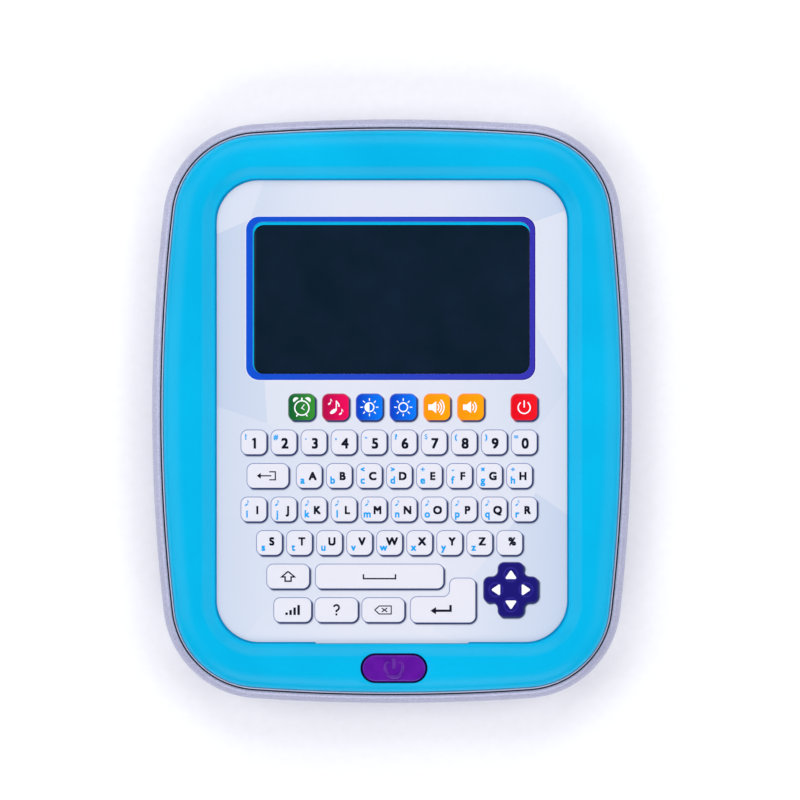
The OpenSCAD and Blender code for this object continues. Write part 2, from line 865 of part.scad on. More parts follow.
// Lower circuit, with the tail that drops through the deck and turns into the connector
module membrane_bottom_sheet() {
    z0 = deck_z - pocket_d;
    z1 = z0 + sheet_t;
    start_y = field_y[1] - 1;
    run_z = connector_slot_z;
    run_top = run_z + sheet_t;
    tail_end = connector_y + 2.6;
    in_y = tail_drop_y - tail_bend;
    out_y = tail_drop_y + sheet_t;
    color(clear_film) {
        field_sheet(z0, z1);
        translate([tail_x - tail_w / 2, 0, 0])
            rotate([90, 0, 90])
                linear_extrude(tail_w)
                    polygon([
                        [start_y, z0], [in_y, z0], [tail_drop_y, z0 - tail_bend],
                        [tail_drop_y, run_top + tail_bend], [in_y, run_top], [tail_end, run_top],
                        [tail_end, run_z], [in_y + sheet_t / 2, run_z],
                        [out_y, run_z + tail_bend + sheet_t / 2], [out_y, z0 - tail_bend + sheet_t / 2],
                        [in_y + sheet_t / 2, z1], [start_y, z1]
                    ]);
    }
}

// ---- Display ----

module display_lens() {
    color(dark, 0.9) {
        plate([0, lens_y], glass_top, joint_z, lens_w + 2 * lens_flange, lens_l + 2 * lens_flange, lens_r);
        plate([0, lens_y], joint_z - fine, lens_top, lens_w, lens_l, lens_r - fit);
    }
}

// Two bonded glass plates, the rear one shorter where the contact strips reach the front one
module display_glass() {
    color(glass_grey) {
        block([0, lens_y], glass_z + glass_t / 2, glass_top, lens_w + glass_over, lens_l + glass_over);
        block([0, lens_y], glass_z, glass_z + glass_t / 2 + fine, lens_w + glass_over, lens_l - glass_step);
    }
}

module display_holder() {
    play = glass_over + 2 * fit;
    color(white)
        difference() {
            plate([0, lens_y], board_top, glass_top, holder_w, holder_l, holder_r);
            block([0, lens_y], glass_z, glass_top + fine, lens_w + play, lens_l + play);
            block([0, lens_y], board_top - fine, glass_top, lens_w - 4, lens_l - 5.4);
        }
}

// Rubber strips of fine contacts between the glass and the board
module contact_strips() {
    color(contact_grey)
        for (s = [-1, 1])
            block([0, lens_y + s * (lens_l / 2 - strip_in)], board_top, glass_z, strip_l, strip_w);
}

// ---- Electronics ----

module main_board() {
    color(green)
        difference() {
            plate(board_c, board_z, board_top, board_w, board_y[1] - board_y[0], board_r);
            for (p = board_posts())
                post(p, board_z - fine, board_top + fine, small_screw_r + 0.3);
        }
}

// Parts soldered under the board: two cans, a crystal, and rows of resistors and diodes
module board_components() {
    color(black) {
        for (x = can_x)
            post([x, can_y], board_z - can_h, board_z, can_r);
        soldered(crystal_c, crystal_size);
        for (i = [0 : 5])
            soldered(resistor_c + [resistor_pitch * i, 0], resistor_size);
        for (i = [0 : 3])
            soldered(diode_c + [diode_pitch * i, 0], diode_size);
    }
}

module soldered(c, size) {
    block(c, board_z - size.z, board_z, size.x, size.y);
}

// Drop of epoxy over the controller chip
module chip_cover() {
    n = 6;
    ball_r = (chip_r * chip_r + chip_h * chip_h) / (2 * chip_h);
    spread = asin(chip_r / ball_r);
    color(black)
        translate([chip_c.x, chip_c.y, board_z])
            rotate_extrude()
                polygon(concat(
                    [[0, 0]],
                    [
                        for (i = [0 : n]) let (a = spread * (1 - i / n))
                            [i == n ? 0 : ball_r * sin(a), ball_r - chip_h - ball_r * cos(a)]
                    ]
                ));
}

// Connector that takes the membrane's tail, open towards the display
module membrane_connector() {
    mid = [tail_x, connector_y + connector_l / 2];
    color(cream)
        difference() {
            block(mid, board_top, board_top + connector_h, connector_w, connector_l);
            block(mid + [0, 2], connector_slot_z - fit, connector_slot_z + sheet_t + fit, tail_w + 4 * fit,
                connector_l);
        }
}

module board_screws() {
    color(metal)
        for (p = board_posts())
            screw(p, board_z, joint_z - 1, small_screw_r, small_head_r, small_head_h);
}

// ---- Power button ----

// Cap with a crowned top, a flange that stops it under the collar, and a stem to the dome
module power_button() {
    color(purple)
        difference() {
            union() {
                crowned_stadium(button_c, flange_top - flange_h, button_top, button_w, button_l);
                stadium(button_c, flange_top - flange_h, flange_top, button_w + 2 * button_flange,
                    button_l + 2 * button_flange);
            }
            stadium(button_c, flange_top - flange_h - fine, button_top - wall, button_w - 2 * button_wall,
                button_l - 2 * button_wall);
        }
    color(purple)
        post(button_c, dome_top + fine, button_top - wall + 0.3, stem_r);
}

// Stadium bar whose top edge is a quarter round under a low crown
module crowned_stadium(c, z0, z1, w, l) {
    edge = button_edge;
    low = z1 - button_crown - edge;
    r = l / 2;
    flat = r - edge;
    n = 6;
    half = concat(
        [[0, z0], [r, z0]],
        [for (i = [0 : n]) let (a = 90 * i / n) [flat + edge * cos(a), low + edge * sin(a)]],
        [for (i = [1 : n]) let (x = flat * (1 - i / n)) [x, z1 - button_crown * pow(x / flat, 2)]]
    );
    full = concat(half, [for (i = [len(half) - 2 : -1 : 1]) [-half[i].x, half[i].y]]);
    for (sx = [-1, 1])
        translate([c.x + sx * (w / 2 - r), c.y, 0])
            rotate_extrude()
                polygon(half);
    translate([c.x - w / 2 + r, c.y, 0])
        rotate([90, 0, 90])
            linear_extrude(w - 2 * r)
                polygon(full);
}

// Rubber dome that closes the switch and pushes the button back
module button_dome() {
    foot_in = stem_r + 1.2;
    foot_out = stem_r + 2.6;
    under = dome_h - dome_t;
    color(silicone)
        translate([button_c.x, button_c.y, switch_top])
            rotate_extrude()
                polygon([
                    [foot_in, 0], [foot_out, 0], [foot_out, dome_t], [foot_in + 0.4, dome_t],
                    [stem_r, dome_h], [0, dome_h], [0, under], [stem_r - 0.6, under]
                ]);
}

module switch_board() {
    color(green)
        difference() {
            plate(button_c, switch_z, switch_top, switch_w, switch_l, 1);
            for (p = switch_posts())
                post(p, switch_z - fine, switch_top + fine, small_screw_r + 0.3);
        }
}

module switch_board_screws() {
    color(metal)
        for (p = switch_posts())
            screw(p, switch_z, switch_top + 4.8, small_screw_r, small_head_r, small_head_h);
}

// ---- Batteries ----

function cell_y(i) = bay_c.y + (i - (cells + 1) / 2) * cell_pitch;
function cell_sign(i) = i % 2 == 1 ? 1 : -1;
function tag_places() = [[-1, cell_y(1)], [1, cell_y(cells)]];

// Door plate with its screw tongue, stiffening ribs and the two tabs that hook over the floor
module battery_door() {
    color(silver)
        difference() {
            union() {
                door_outline(back_z, back_z + door_t, 0);
                post([0, door_screw_y], back_z, back_z + door_boss_h, door_boss_r - 0.6);
                for (sx = [-1, 1])
                    door_tab(sx * tab_x);
                for (i = [1 : cells - 1])
                    block([0, (cell_y(i) + cell_y(i + 1)) / 2], back_z + door_t - fine,
                        back_z + door_t + door_rib_h, bay_w - 4, rib_t);
            }
            post([0, door_screw_y], -fine, door_screw_seat, head_r + 0.3);
            post([0, door_screw_y], -fine, back_z + door_boss_h + 1, door_screw_r + 0.25);
            for (i = [0 : grip_n - 1])
                block([0, door_y1 - 4 - grip_pitch * i], -fine, back_z + grip_h, grip_w - 3 * i, 1);
        }
}

module door_tab(x) {
    front = door_y0 + tab_riser;
    reach = hinge_y - tab_reach;
    block([x, door_y0 + tab_riser / 2], back_z + door_t - fine, tab_z + tab_t, tab_w, tab_riser);
    block([x, (front + reach) / 2], tab_z, tab_z + tab_t, tab_w, front - reach);
}

module battery_door_screw() {
    color(metal)
        screw([0, door_screw_y], door_screw_seat, door_screw_tip, door_screw_r, head_r, door_head_h);
}

// One cell: can, shoulder and terminal on the end that meets the flat contact
module cell(i) {
    end_x = cell_sign(i) * (bay_w / 2 - plate_t);
    color(sleeve)
        translate([end_x, cell_y(i), cell_z])
            rotate([0, -90 * cell_sign(i), 0])
                rotate_extrude()
                    polygon([
                        [0, 0], [nub_r, 0], [nub_r, nub_h], [cell_r - 0.5, nub_h], [cell_r, nub_h + 0.5],
                        [cell_r, cell_len - 0.4], [cell_r - 0.4, cell_len], [0, cell_len]
                    ]);
}

module battery_1() { cell(1); }
module battery_2() { cell(2); }
module battery_3() { cell(3); }

// Conical coil springs on the ends that meet the flat side of a cell
module battery_springs() {
    color(metal)
        for (i = [1 : cells])
            translate([-cell_sign(i) * (bay_w / 2 - plate_t), cell_y(i), cell_z])
                rotate([0, 90 * cell_sign(i), 0])
                    coil(spring_r[0], spring_r[1], spring_len, spring_wire_r, spring_turns);
}

// Wire of radius wire_r wound from radius r0 to r1 over a height h
module coil(r0, r1, h, wire_r, turns) {
    steps = 10 * turns;
    sides = 6;
    function at(s) =
        let (a = 360 * turns * s, r = r0 + (r1 - r0) * s)
        [r * cos(a), r * sin(a), wire_r + (h - 2 * wire_r) * s];
    function ring(s) =
        let (a = 360 * turns * s, out = [cos(a), sin(a), 0], c = at(s))
        [for (j = [0 : sides - 1]) let (b = 360 * j / sides) c + wire_r * (cos(b) * out + [0, 0, sin(b)])];
    rings = [for (i = [0 : steps]) ring(i / steps)];
    loft(rings);
}

// Flat contacts in the bay's two ends, two of them with a tag for a lead
module battery_contacts() {
    color(metal) {
        for (sx = [-1, 1])
            for (i = [1 : cells])
                contact_plate(sx, i);
        for (p = tag_places())
            block([p.x * tag_x, p.y], tag_z, tag_z + plate_t, tag_l, tag_w);
    }
}

module contact_plate(sx, i) {
    joined = sx > 0 ? (i % 2 == 1 && i < cells) : (i % 2 == 0 && i < cells);
    y = joined ? (cell_y(i) + cell_y(i + 1)) / 2 : cell_y(i);
    paired = sx > 0 ? i % 2 == 0 : (i % 2 == 1 && i > 1);
    if (!paired)
        block([sx * (bay_w / 2 - plate_t / 2), y], cell_z - contact_rise, cell_z + contact_rise, plate_t,
            joined ? cell_pitch + contact_w : contact_w);
}

// ---- Leads ----

// From a contact's tag beside the bay to the main board
module battery_lead(tag) {
    start = [tag.x * (tag_x + tag_l / 2 - lead_r - 0.25), tag.y, tag_z];
    end = [tag.x * battery_lead_end.x, battery_lead_end.y, board_z];
    tube(lead_route(start, end, lead_z), lead_r, across_way(start, end));
}

module battery_lead_positive() { color(red) battery_lead(tag_places()[1]); }
module battery_lead_negative() { color(black) battery_lead(tag_places()[0]); }

// Pair from the switch board, beside the bay, to the main board
module switch_leads() {
    color(white)
        for (i = [0, 1]) {
            run = switch_lead_run[i];
            start = [switch_lead_start[i].x, switch_lead_start[i].y, switch_z];
            end = [run[0], -run[2] - 1, board_z];
            way = [[run[0], run[1]], [run[0], run[2]]];
            tube(lead_route(start, end, lead_z, way), thin_lead_r, [1, 0, 0]);
        }
}

// Pair from the loudspeaker's flange to the main board
module speaker_leads() {
    color(yellow)
        for (i = [0, 1]) {
            a = speaker_lead_a[i];
            at = speaker_c + (speaker_r - 1.3) * [cos(a), sin(a)];
            start = [at.x, at.y, speaker_z + basket_flange_t];
            end = [speaker_lead_end[i].x, speaker_lead_end[i].y, board_z];
            tube(lead_route(start, end, lead_z - 1), thin_lead_r, across_way(start, end));
        }
}

// ---- Speaker ----

module speaker_gasket() {
    color(black)
        difference() {
            post(speaker_c, floor_z, speaker_z, speaker_r);
            post(speaker_c, floor_z - fine, speaker_z + fine, speaker_r - 3);
        }
}

// Stamped basket with four windows behind the cone
module speaker_frame() {
    under = basket_h - frame_t;
    color(metal)
        difference() {
            translate([speaker_c.x, speaker_c.y, speaker_z])
                rotate_extrude()
                    polygon([
                        [speaker_r - 3, 0], [speaker_r, 0], [speaker_r, basket_flange_t],
                        [speaker_r - 2.6, basket_flange_t], [magnet_r + 1, basket_h],
                        [frame_hole_r, basket_h], [frame_hole_r, under], [magnet_r, under],
                        [speaker_r - 3.6, basket_flange_t - frame_t + 0.3], [speaker_r - 3, 0.2]
                    ]);
            for (a = [45 : 90 : 315])
                post(speaker_c + frame_window_at * [cos(a), sin(a)], speaker_z + 1.6,
                    speaker_z + 1.6 + basket_h, frame_window_r);
        }
}

// Cone with its half-round surround and dust cap
module speaker_cone() {
    rim = speaker_r - 3.6;
    fold = rim - 1.6;
    edge_z = 0.1;
    fold_z = 0.5;
    color(paper)
        translate([speaker_c.x, speaker_c.y, speaker_z])
            rotate_extrude()
                polygon([
                    [0, cap_z], [cap_r, cap_z + 0.6], [neck_r, neck_z], [fold - 1.6, fold_z], [fold, edge_z],
                    [rim, edge_z], [rim, edge_z + cone_t], [fold, edge_z + cone_t],
                    [fold - 1.4, fold_z + cone_t], [neck_r + 0.2, neck_z + cone_t], [0, neck_z + cone_t]
                ]);
}

module speaker_magnet() {
    color(metal)
        translate([speaker_c.x, speaker_c.y, speaker_top])
            rotate_extrude()
                polygon([
                    [0, 0], [magnet_r, 0], [magnet_r, magnet_h - 0.5], [magnet_r - 0.5, magnet_h],
                    [0, magnet_h]
                ]);
}

// Wide-headed screws that clamp the speaker's flange, heads up
module speaker_screws() {
    color(metal)
        for (i = [1 : speaker_screw_n])
            translate([speaker_hole(i).x, speaker_hole(i).y, speaker_z + basket_flange_t])
                mirror([0, 0, 1])
                    screw([0, 0], 0, speaker_tip, small_screw_r, clamp_r, small_head_h);
}

// ---- Fasteners and feet ----

module housing_screws() {
    color(metal)
        for (p = posts)
            screw(p, seat_z, screw_tip, screw_r, head_r, head_h);
}

module rubber_feet() {
    top = back_z + foot_sink;
    color(black)
        for (sx = [-1, 1], sy = [-1, 1])
            translate([sx * foot_c.x, sy * foot_c.y, 0])
                rotate_extrude()
                    polygon([[0, 0], [foot_r - foot_edge, 0], [foot_r, foot_edge], [foot_r, top], [0, top]]);
}

back_housing();
trim_ring();
front_bezel();
keypad_film();
membrane_top_sheet();
membrane_spacer();
membrane_bottom_sheet();
display_lens();
display_glass();
display_holder();
contact_strips();
main_board();
board_components();
chip_cover();
membrane_connector();
board_screws();
power_button();
button_dome();
switch_board();
switch_board_screws();
battery_door();
battery_door_screw();
battery_1();
battery_2();
battery_3();
battery_springs();
battery_contacts();
battery_lead_positive();
battery_lead_negative();
switch_leads();
speaker_gasket();
speaker_frame();
speaker_cone();
speaker_magnet();
speaker_screws();
speaker_leads();
housing_screws();
rubber_feet();
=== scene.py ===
import math

import bmesh
import bpy
from mathutils import Matrix, Vector


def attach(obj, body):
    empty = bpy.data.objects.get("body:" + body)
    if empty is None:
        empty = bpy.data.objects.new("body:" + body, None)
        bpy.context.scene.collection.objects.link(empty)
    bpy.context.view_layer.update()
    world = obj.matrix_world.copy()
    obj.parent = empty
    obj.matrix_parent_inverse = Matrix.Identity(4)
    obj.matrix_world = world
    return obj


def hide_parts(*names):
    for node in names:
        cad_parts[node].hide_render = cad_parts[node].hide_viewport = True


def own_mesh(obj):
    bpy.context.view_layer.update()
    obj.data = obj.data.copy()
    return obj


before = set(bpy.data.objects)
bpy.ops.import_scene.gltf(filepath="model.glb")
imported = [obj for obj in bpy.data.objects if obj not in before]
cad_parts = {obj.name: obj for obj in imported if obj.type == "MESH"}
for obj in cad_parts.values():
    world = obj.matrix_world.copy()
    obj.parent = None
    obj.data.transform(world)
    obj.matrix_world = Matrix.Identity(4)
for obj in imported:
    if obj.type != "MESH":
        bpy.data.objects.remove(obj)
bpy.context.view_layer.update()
mm = 0.001


# Outlines are lists of 2D points in mm, counter-clockwise seen from above

def direction(turn):
    return Vector((math.cos(turn), math.sin(turn)))


def arcPoints(centre, radius, start, end, steps):
    # without the last point, so that stretches can be chained
    return [centre + radius * direction(start + (end - start) * i / steps) for i in range(steps)]


def atHeight(points, z):
    return [(p.x, p.y, z) for p in points]


def mirrorQuarter(quarter):
    # a whole outline from its first quarter, which starts and ends on the axes
    back = quarter[:0:-1]
    return (quarter[:-1] + [Vector((-p.x, p.y)) for p in back]
            + [-p for p in quarter[:-1]] + [Vector((p.x, -p.y)) for p in back])


def circlesCross(c1, r1, c2, r2):
    gap = c2 - c1
    along = (r1 ** 2 - r2 ** 2 + gap.length_squared) / (2 * gap.length)
    unit = gap.normalized()
    return c1 + unit * along + Vector((-unit.y, unit.x)) * math.sqrt(r1 ** 2 - along ** 2)


outline = {  # mm, the bowed plan of both mouldings and the panel's rounded rectangle
    "halfWidth": 96.2, "halfLength": 117.0, "sideRadius": 700.0, "endRadius": 800.0, "cornerRadius": 39.0,
    "panelHalfWidth": 70.7, "panelHalfLength": 92.9, "panelRadius": 17.0,
    "sideSteps": 8, "cornerSteps": 30,
}
sideCentre = Vector((outline["halfWidth"] - outline["sideRadius"], 0))
endCentre = Vector((0, outline["halfLength"] - outline["endRadius"]))
cornerCentre = circlesCross(sideCentre, outline["sideRadius"] - outline["cornerRadius"],
                            endCentre, outline["endRadius"] - outline["cornerRadius"])
sideAngle = math.atan2(*(cornerCentre - sideCentre).yx)
endAngle = math.atan2(*(cornerCentre - endCentre).yx)


def bowRing(inset, z):
    # the housing's outline, moved inwards
    n, m = outline["sideSteps"], outline["cornerSteps"]
    quarter = (arcPoints(sideCentre, outline["sideRadius"] - inset, 0, sideAngle, n)
               + arcPoints(cornerCentre, outline["cornerRadius"] - inset, sideAngle, endAngle, m)
               + arcPoints(endCentre, outline["endRadius"] - inset, endAngle, math.pi / 2, n)
               + [Vector((0, outline["halfLength"] - inset))])
    return atHeight(mirrorQuarter(quarter), z)


def panelRing(grow, z):
    # the recessed panel's outline, moved outwards, with as many points as a bow ring
    n, m = outline["sideSteps"], outline["cornerSteps"]
    w, h = outline["panelHalfWidth"] + grow, outline["panelHalfLength"] + grow
    r = outline["panelRadius"] + grow
    quarter = ([Vector((w, (h - r) * i / n)) for i in range(n)]
               + arcPoints(Vector((w - r, h - r)), r, 0, math.pi / 2, m)
               + [Vector(((w - r) * (1 - i / n), h)) for i in range(n)] + [Vector((0, h))])
    return atHeight(mirrorQuarter(quarter), z)


def roundCorners(corners, radii, steps=8):
    # outline with every corner rounded by one radius or by its own, and its outward normals
    if not isinstance(radii, list):
        radii = [radii] * len(corners)
    points, normals = [], []
    for i, (corner, radius) in enumerate(zip(corners, radii)):
        before = (corner - corners[i - 1]).normalized()
        after = (corners[(i + 1) % len(corners)] - corner).normalized()
        turn = math.atan2(before.cross(after), before.dot(after))
        side = 1 if turn > 0 else -1
        reach = radius * math.tan(abs(turn) / 2)
        centre = corner - before * reach + side * radius * Vector((-before.y, before.x))
        for k in range(steps + 1):
            out = Matrix.Rotation(turn * k / steps, 2) @ (side * Vector((before.y, -before.x)))
            points.append(centre + radius * out)
            normals.append(side * out)
    return points, normals


def rectangle(cx, cy, w, h):
    signs = ((-1, -1), (1, -1), (1, 1), (-1, 1))
    return [Vector((cx + sx * w / 2, cy + sy * h / 2)) for sx, sy in signs]


def path(x, y, points):
    # points given from a middle at x and y
    return [Vector((x + px, y + py)) for px, py in points]


def roundRectangle(plan, grow=0.0, steps=8):
    # plan is the middle, width, length and corner radius, and grow moves the outline outwards
    x, y, w, h, radius = plan
    return roundCorners(rectangle(x, y, w + 2 * grow, h + 2 * grow), radius + grow, steps)[0]


# Solids are pairs of vertices in mm and faces, with the faces pointing outwards

def loft(rings, capped=True):
    # a solid through rings of as many points each, closed by two caps or from the last ring to the first
    n, m = len(rings[0]), len(rings)
    faces = [(i * n + j, i * n + (j + 1) % n, (i + 1) % m * n + (j + 1) % n, (i + 1) % m * n + j)
             for i in range(m - 1 if capped else m) for j in range(n)]
    if capped:
        faces += [tuple(range(n - 1, -1, -1)), tuple((m - 1) * n + j for j in range(n))]
    return [tuple(p) for ring in rings for p in ring], faces


def prism(points, z0, z1):
    return loft([atHeight(points, z) for z in (z0, z1)])


def box(cx, cy, w, h, z0, z1):
    return prism(rectangle(cx, cy, w, h), z0, z1)


def revolve(profile, centre=(0, 0), steps=32, peak=0.0):
    # profile of radius and height pairs from bottom to top, closed next to the axis at both ends;
    # the peak is how much higher the axis is than the profile's end
    inner = 0.01
    profile = [(inner, profile[0][1])] + profile + [(inner, profile[-1][1] + peak)]
    turns = [2 * math.pi * j / steps for j in range(steps)]
    return loft([[(centre[0] + r * math.cos(t), centre[1] + r * math.sin(t), z) for t in turns]
                 for r, z in profile])


def join(solids):
    verts, faces = [], []
    for v, f in solids:
        base = len(verts)
        verts += v
        faces += [tuple(base + i for i in face) for face in f]
    return verts, faces


def makePiece(name, solid, materials=(), smoothAngle=35):
    mesh = bpy.data.meshes.new(name)
    mesh.from_pydata([(x * mm, y * mm, z * mm) for x, y, z in solid[0]], [], solid[1])
    piece = bpy.data.objects.new(name, mesh)
    bpy.context.scene.collection.objects.link(piece)
    for material in materials:
        mesh.materials.append(material)
    smooth(piece, smoothAngle)
    return piece


def smooth(piece, angle=35):
    piece.data.shade_smooth()
    piece.data.set_sharp_from_angle(angle=math.radians(angle))


def applyModifiers(piece):
    bpy.context.view_layer.update()
    made = piece.evaluated_get(bpy.context.evaluated_depsgraph_get())
    mesh = bpy.data.meshes.new_from_object(made)
    piece.modifiers.clear()
    piece.data = mesh


def combine(piece, solid, operation):
    tool = makePiece("tool", solid)
    modifier = piece.modifiers.new(operation, "BOOLEAN")
    modifier.operation = operation
    modifier.solver = "MANIFOLD"
    modifier.object = tool
    applyModifiers(piece)
    bpy.data.objects.remove(tool)


def add(piece, *solids):
    for solid in solids:
        combine(piece, solid, "UNION")


def cut(piece, *solids):
    for solid in solids:
        combine(piece, solid, "DIFFERENCE")


# Materials

def linear(code):
    # sRGB hex to linear RGBA
    parts = [int(code[i:i + 2], 16) / 255 for i in (0, 2, 4)]
    return tuple(c / 12.92 if c <= 0.04045 else ((c + 0.055) / 1.055) ** 2.4 for c in parts) + (1.0,)


def setInputs(tree, made, inputs):
    # gives a node its values, linked where they come from another node
    for name, value in inputs.items():
        if isinstance(value, bpy.types.NodeSocket):
            tree.links.new(value, made.inputs[name])
        else:
            made.inputs[name].default_value = value


def addNode(tree, kind, inputs=None, **settings):
    made = tree.nodes.new(kind)
    for name, value in settings.items():
        setattr(made, name, value)
    setInputs(tree, made, inputs or {})
    return made


def startMaterial(name):
    material = bpy.data.materials.new(name)
    material.use_nodes = True
    tree = material.node_tree
    coords = addNode(tree, "ShaderNodeTexCoord").outputs["Object"]
    return material, tree, coords


def finish(material, settings):
    # the settings of the surface shader
    tree = material.node_tree
    setInputs(tree, tree.nodes["Principled BSDF"], settings)
    return material


def perMm(size):
    # scale of a pattern with one step every so many mm, on coordinates in metres
    return 1 / (size * mm)


def noise(tree, coords, size, detail=2.0):
    return addNode(tree, "ShaderNodeTexNoise",
                   {"Vector": coords, "Scale": perMm(size), "Detail": detail}).outputs[0]


def voronoi(tree, coords, size, **settings):
    # one random value for each cell of the pattern
    cells = addNode(tree, "ShaderNodeTexVoronoi", {"Vector": coords, "Scale": perMm(size)}, **settings)
    return addNode(tree, "ShaderNodeSeparateColor", {"Color": cells.outputs["Color"]}).outputs["Red"]


def compute(tree, operation, *values):
    return addNode(tree, "ShaderNodeMath", dict(enumerate(values)), operation=operation).outputs[0]


def between(tree, value, low, high, start=0.0, end=1.0):
    return addNode(tree, "ShaderNodeMapRange", {"Value": value, "From Min": start, "From Max": end,
                                                "To Min": low, "To Max": high}).outputs[0]


def ramp(tree, value, *stops):
    # colour by value, from pairs of place and hex colour
    made = addNode(tree, "ShaderNodeValToRGB", {"Fac": value})
    elements = made.color_ramp.elements
    elements[0].position, elements[0].color = stops[0][0], linear(stops[0][1])
    elements[1].position, elements[1].color = stops[-1][0], linear(stops[-1][1])
    for place, code in stops[1:-1]:
        elements.new(place).color = linear(code)
    return made.outputs["Color"]


def bump(tree, height, strength, depth):
    # depth in mm of the full range of the height
    return addNode(tree, "ShaderNodeBump",
                   {"Height": height, "Strength": strength, "Distance": depth * mm}).outputs[0]


# Metallic-lacquered ABS: a sprayed silver basecoat whose flakes glint one by one
def pearlLacquer():
    material, tree, coords = startMaterial("pearlLacquerOnAbs")
    glint = voronoi(tree, coords, 0.4)  # real flakes are 0.05 mm, drawn as coarse as they still show
    cloud = noise(tree, coords, 25, 4.0)
    # painted glint: the flake cells lighten the base colour one by one, standing in for their sparkle; the
    # bump tilts them too
    tone = compute(tree, "MULTIPLY_ADD", glint, 0.4, between(tree, cloud, 0.2, 0.4))
    return finish(material, {
        "Base Color": ramp(tree, tone, (0.2, "A6A7C0"), (0.5, "B3B4CB"), (0.8, "C7C7DA")),
        "Metallic": 0.4, "Roughness": between(tree, cloud, 0.42, 0.52), "Specular IOR Level": 0.25,
        "Normal": bump(tree, glint, 0.06, 0.01),
    })


# The same lacquer, paler and smoother, on the thin ring in the seam
def paleLacquer():
    material, tree, coords = startMaterial("paleLacquerOnAbs")
    grain = noise(tree, coords, 0.6)
    return finish(material, {
        "Base Color": ramp(tree, grain, (0.3, "B4B8D0"), (0.7, "C8CADC")), "Metallic": 0.3,
        "Roughness": between(tree, grain, 0.28, 0.38), "Coat Weight": 0.2, "Coat Roughness": 0.1,
        "Normal": bump(tree, grain, 0.05, 0.02),
    })


# Self-coloured ABS from a polished mould: glossy, with a faint swell and a few dull patches from hands
def cyanAbs():
    material, tree, coords = startMaterial("polishedCyanAbs")
    wear = noise(tree, coords, 40, 5.0)
    tone = compute(tree, "MULTIPLY_ADD", noise(tree, coords, 0.5), 0.3, wear)
    return finish(material, {
        "Base Color": ramp(tree, tone, (0.4, "00ACDA"), (0.9, "00B7E4")),
        "Roughness": between(tree, wear, 0.26, 0.36), "Specular IOR Level": 0.12,
        "Normal": bump(tree, noise(tree, coords, 9), 0.05, 0.3),
    })


# Embossed PET film, printed on its back and lacquered matt: an even sheen and a fine tooth. The "ink"
# attribute holds the print's colour, and its alpha how much of the pale ground it covers.
def printedFilm():
    material, tree, coords = startMaterial("printedPetFilm")
    moved = addNode(tree, "ShaderNodeMapping", {"Vector": coords, "Location": (0.31, 0.12, 0.0)}).outputs[0]
    facets = voronoi(tree, moved, 62, voronoi_dimensions="2D")
    across = addNode(tree, "ShaderNodeSeparateXYZ", {"Vector": coords}).outputs["X"]
    depth = between(tree, compute(tree, "ABSOLUTE", across), 0.15, 0.75, 0.02, 0.07)
    tone = compute(tree, "MULTIPLY", facets, depth)
    ground = ramp(tree, tone, (0.0, "DDDEE6"), (0.3, "D3D9E4"), (0.8, "BAC8DC"))
    ink = addNode(tree, "ShaderNodeAttribute", attribute_name="ink").outputs
    printed = addNode(tree, "ShaderNodeMix", {0: ink["Alpha"], 6: ground, 7: ink["Color"]}, data_type="RGBA")
    tooth = noise(tree, coords, 0.35)
    return finish(material, {
        "Base Color": printed.outputs[2], "Roughness": between(tree, tooth, 0.34, 0.46),
        "Specular IOR Level": 0.15, "Normal": bump(tree, tooth, 0.06, 0.02),
    })


# Screen-printed ink: dense and matt, with the pinholes and soft density changes of a mesh screen
def screenInk():
    material, tree, coords = startMaterial("screenPrintedInk")
    ink = addNode(tree, "ShaderNodeAttribute", attribute_name="ink").outputs["Color"]
    density = between(tree, noise(tree, coords, 0.3), 0.9, 1.1)
    grey = addNode(tree, "ShaderNodeCombineColor", {0: density, 1: density, 2: density}).outputs[0]
    uneven = addNode(tree, "ShaderNodeMix", {0: 1.0, 6: ink, 7: grey}, data_type="RGBA",
                     blend_type="MULTIPLY").outputs[2]
    return finish(material, {"Base Color": uneven, "Roughness": 0.5, "Specular IOR Level": 0.15})


# Tinted acrylic over the dark display: polished, almost opaque, with faint wipe marks
def tintedAcrylic():
    material, tree, coords = startMaterial("tintedAcrylic")
    cloud = noise(tree, coords, 14, 6.0)
    return finish(material, {
        "Base Color": ramp(tree, cloud, (0.3, "071B29"), (0.7, "0F2032")),
        "Roughness": between(tree, cloud, 0.08, 0.16), "Specular IOR Level": 0.2,
    })


# Purple ABS with a polished face
def purpleAbs():
    material, tree, coords = startMaterial("polishedPurpleAbs")
    cloud = noise(tree, coords, 5, 3.0)
    return finish(material, {
        "Base Color": ramp(tree, cloud, (0.3, "550A90"), (0.7, "65139D")),
        "Roughness": between(tree, cloud, 0.16, 0.26), "Specular IOR Level": 0.3,
        "Normal": bump(tree, noise(tree, coords, 0.5), 0.05, 0.02),
    })


# A plastic or rubber in one colour, told apart by its gloss and by the grain of its mould
def mouldedPlastic(name, dark, light, grain, depth, rough, settings=None):
    material, tree, coords = startMaterial(name)
    speck = noise(tree, coords, grain, 3.0)
    shade = compute(tree, "ADD", speck, noise(tree, coords, grain * 30))
    finish(material, {
        "Base Color": ramp(tree, between(tree, shade, 0, 1, 0.7, 1.3), (0.0, dark), (1.0, light)),
        "Roughness": between(tree, speck, rough - 0.06, rough + 0.06),
        "Normal": bump(tree, speck, 0.3, depth),
    })
    return finish(material, settings or {})


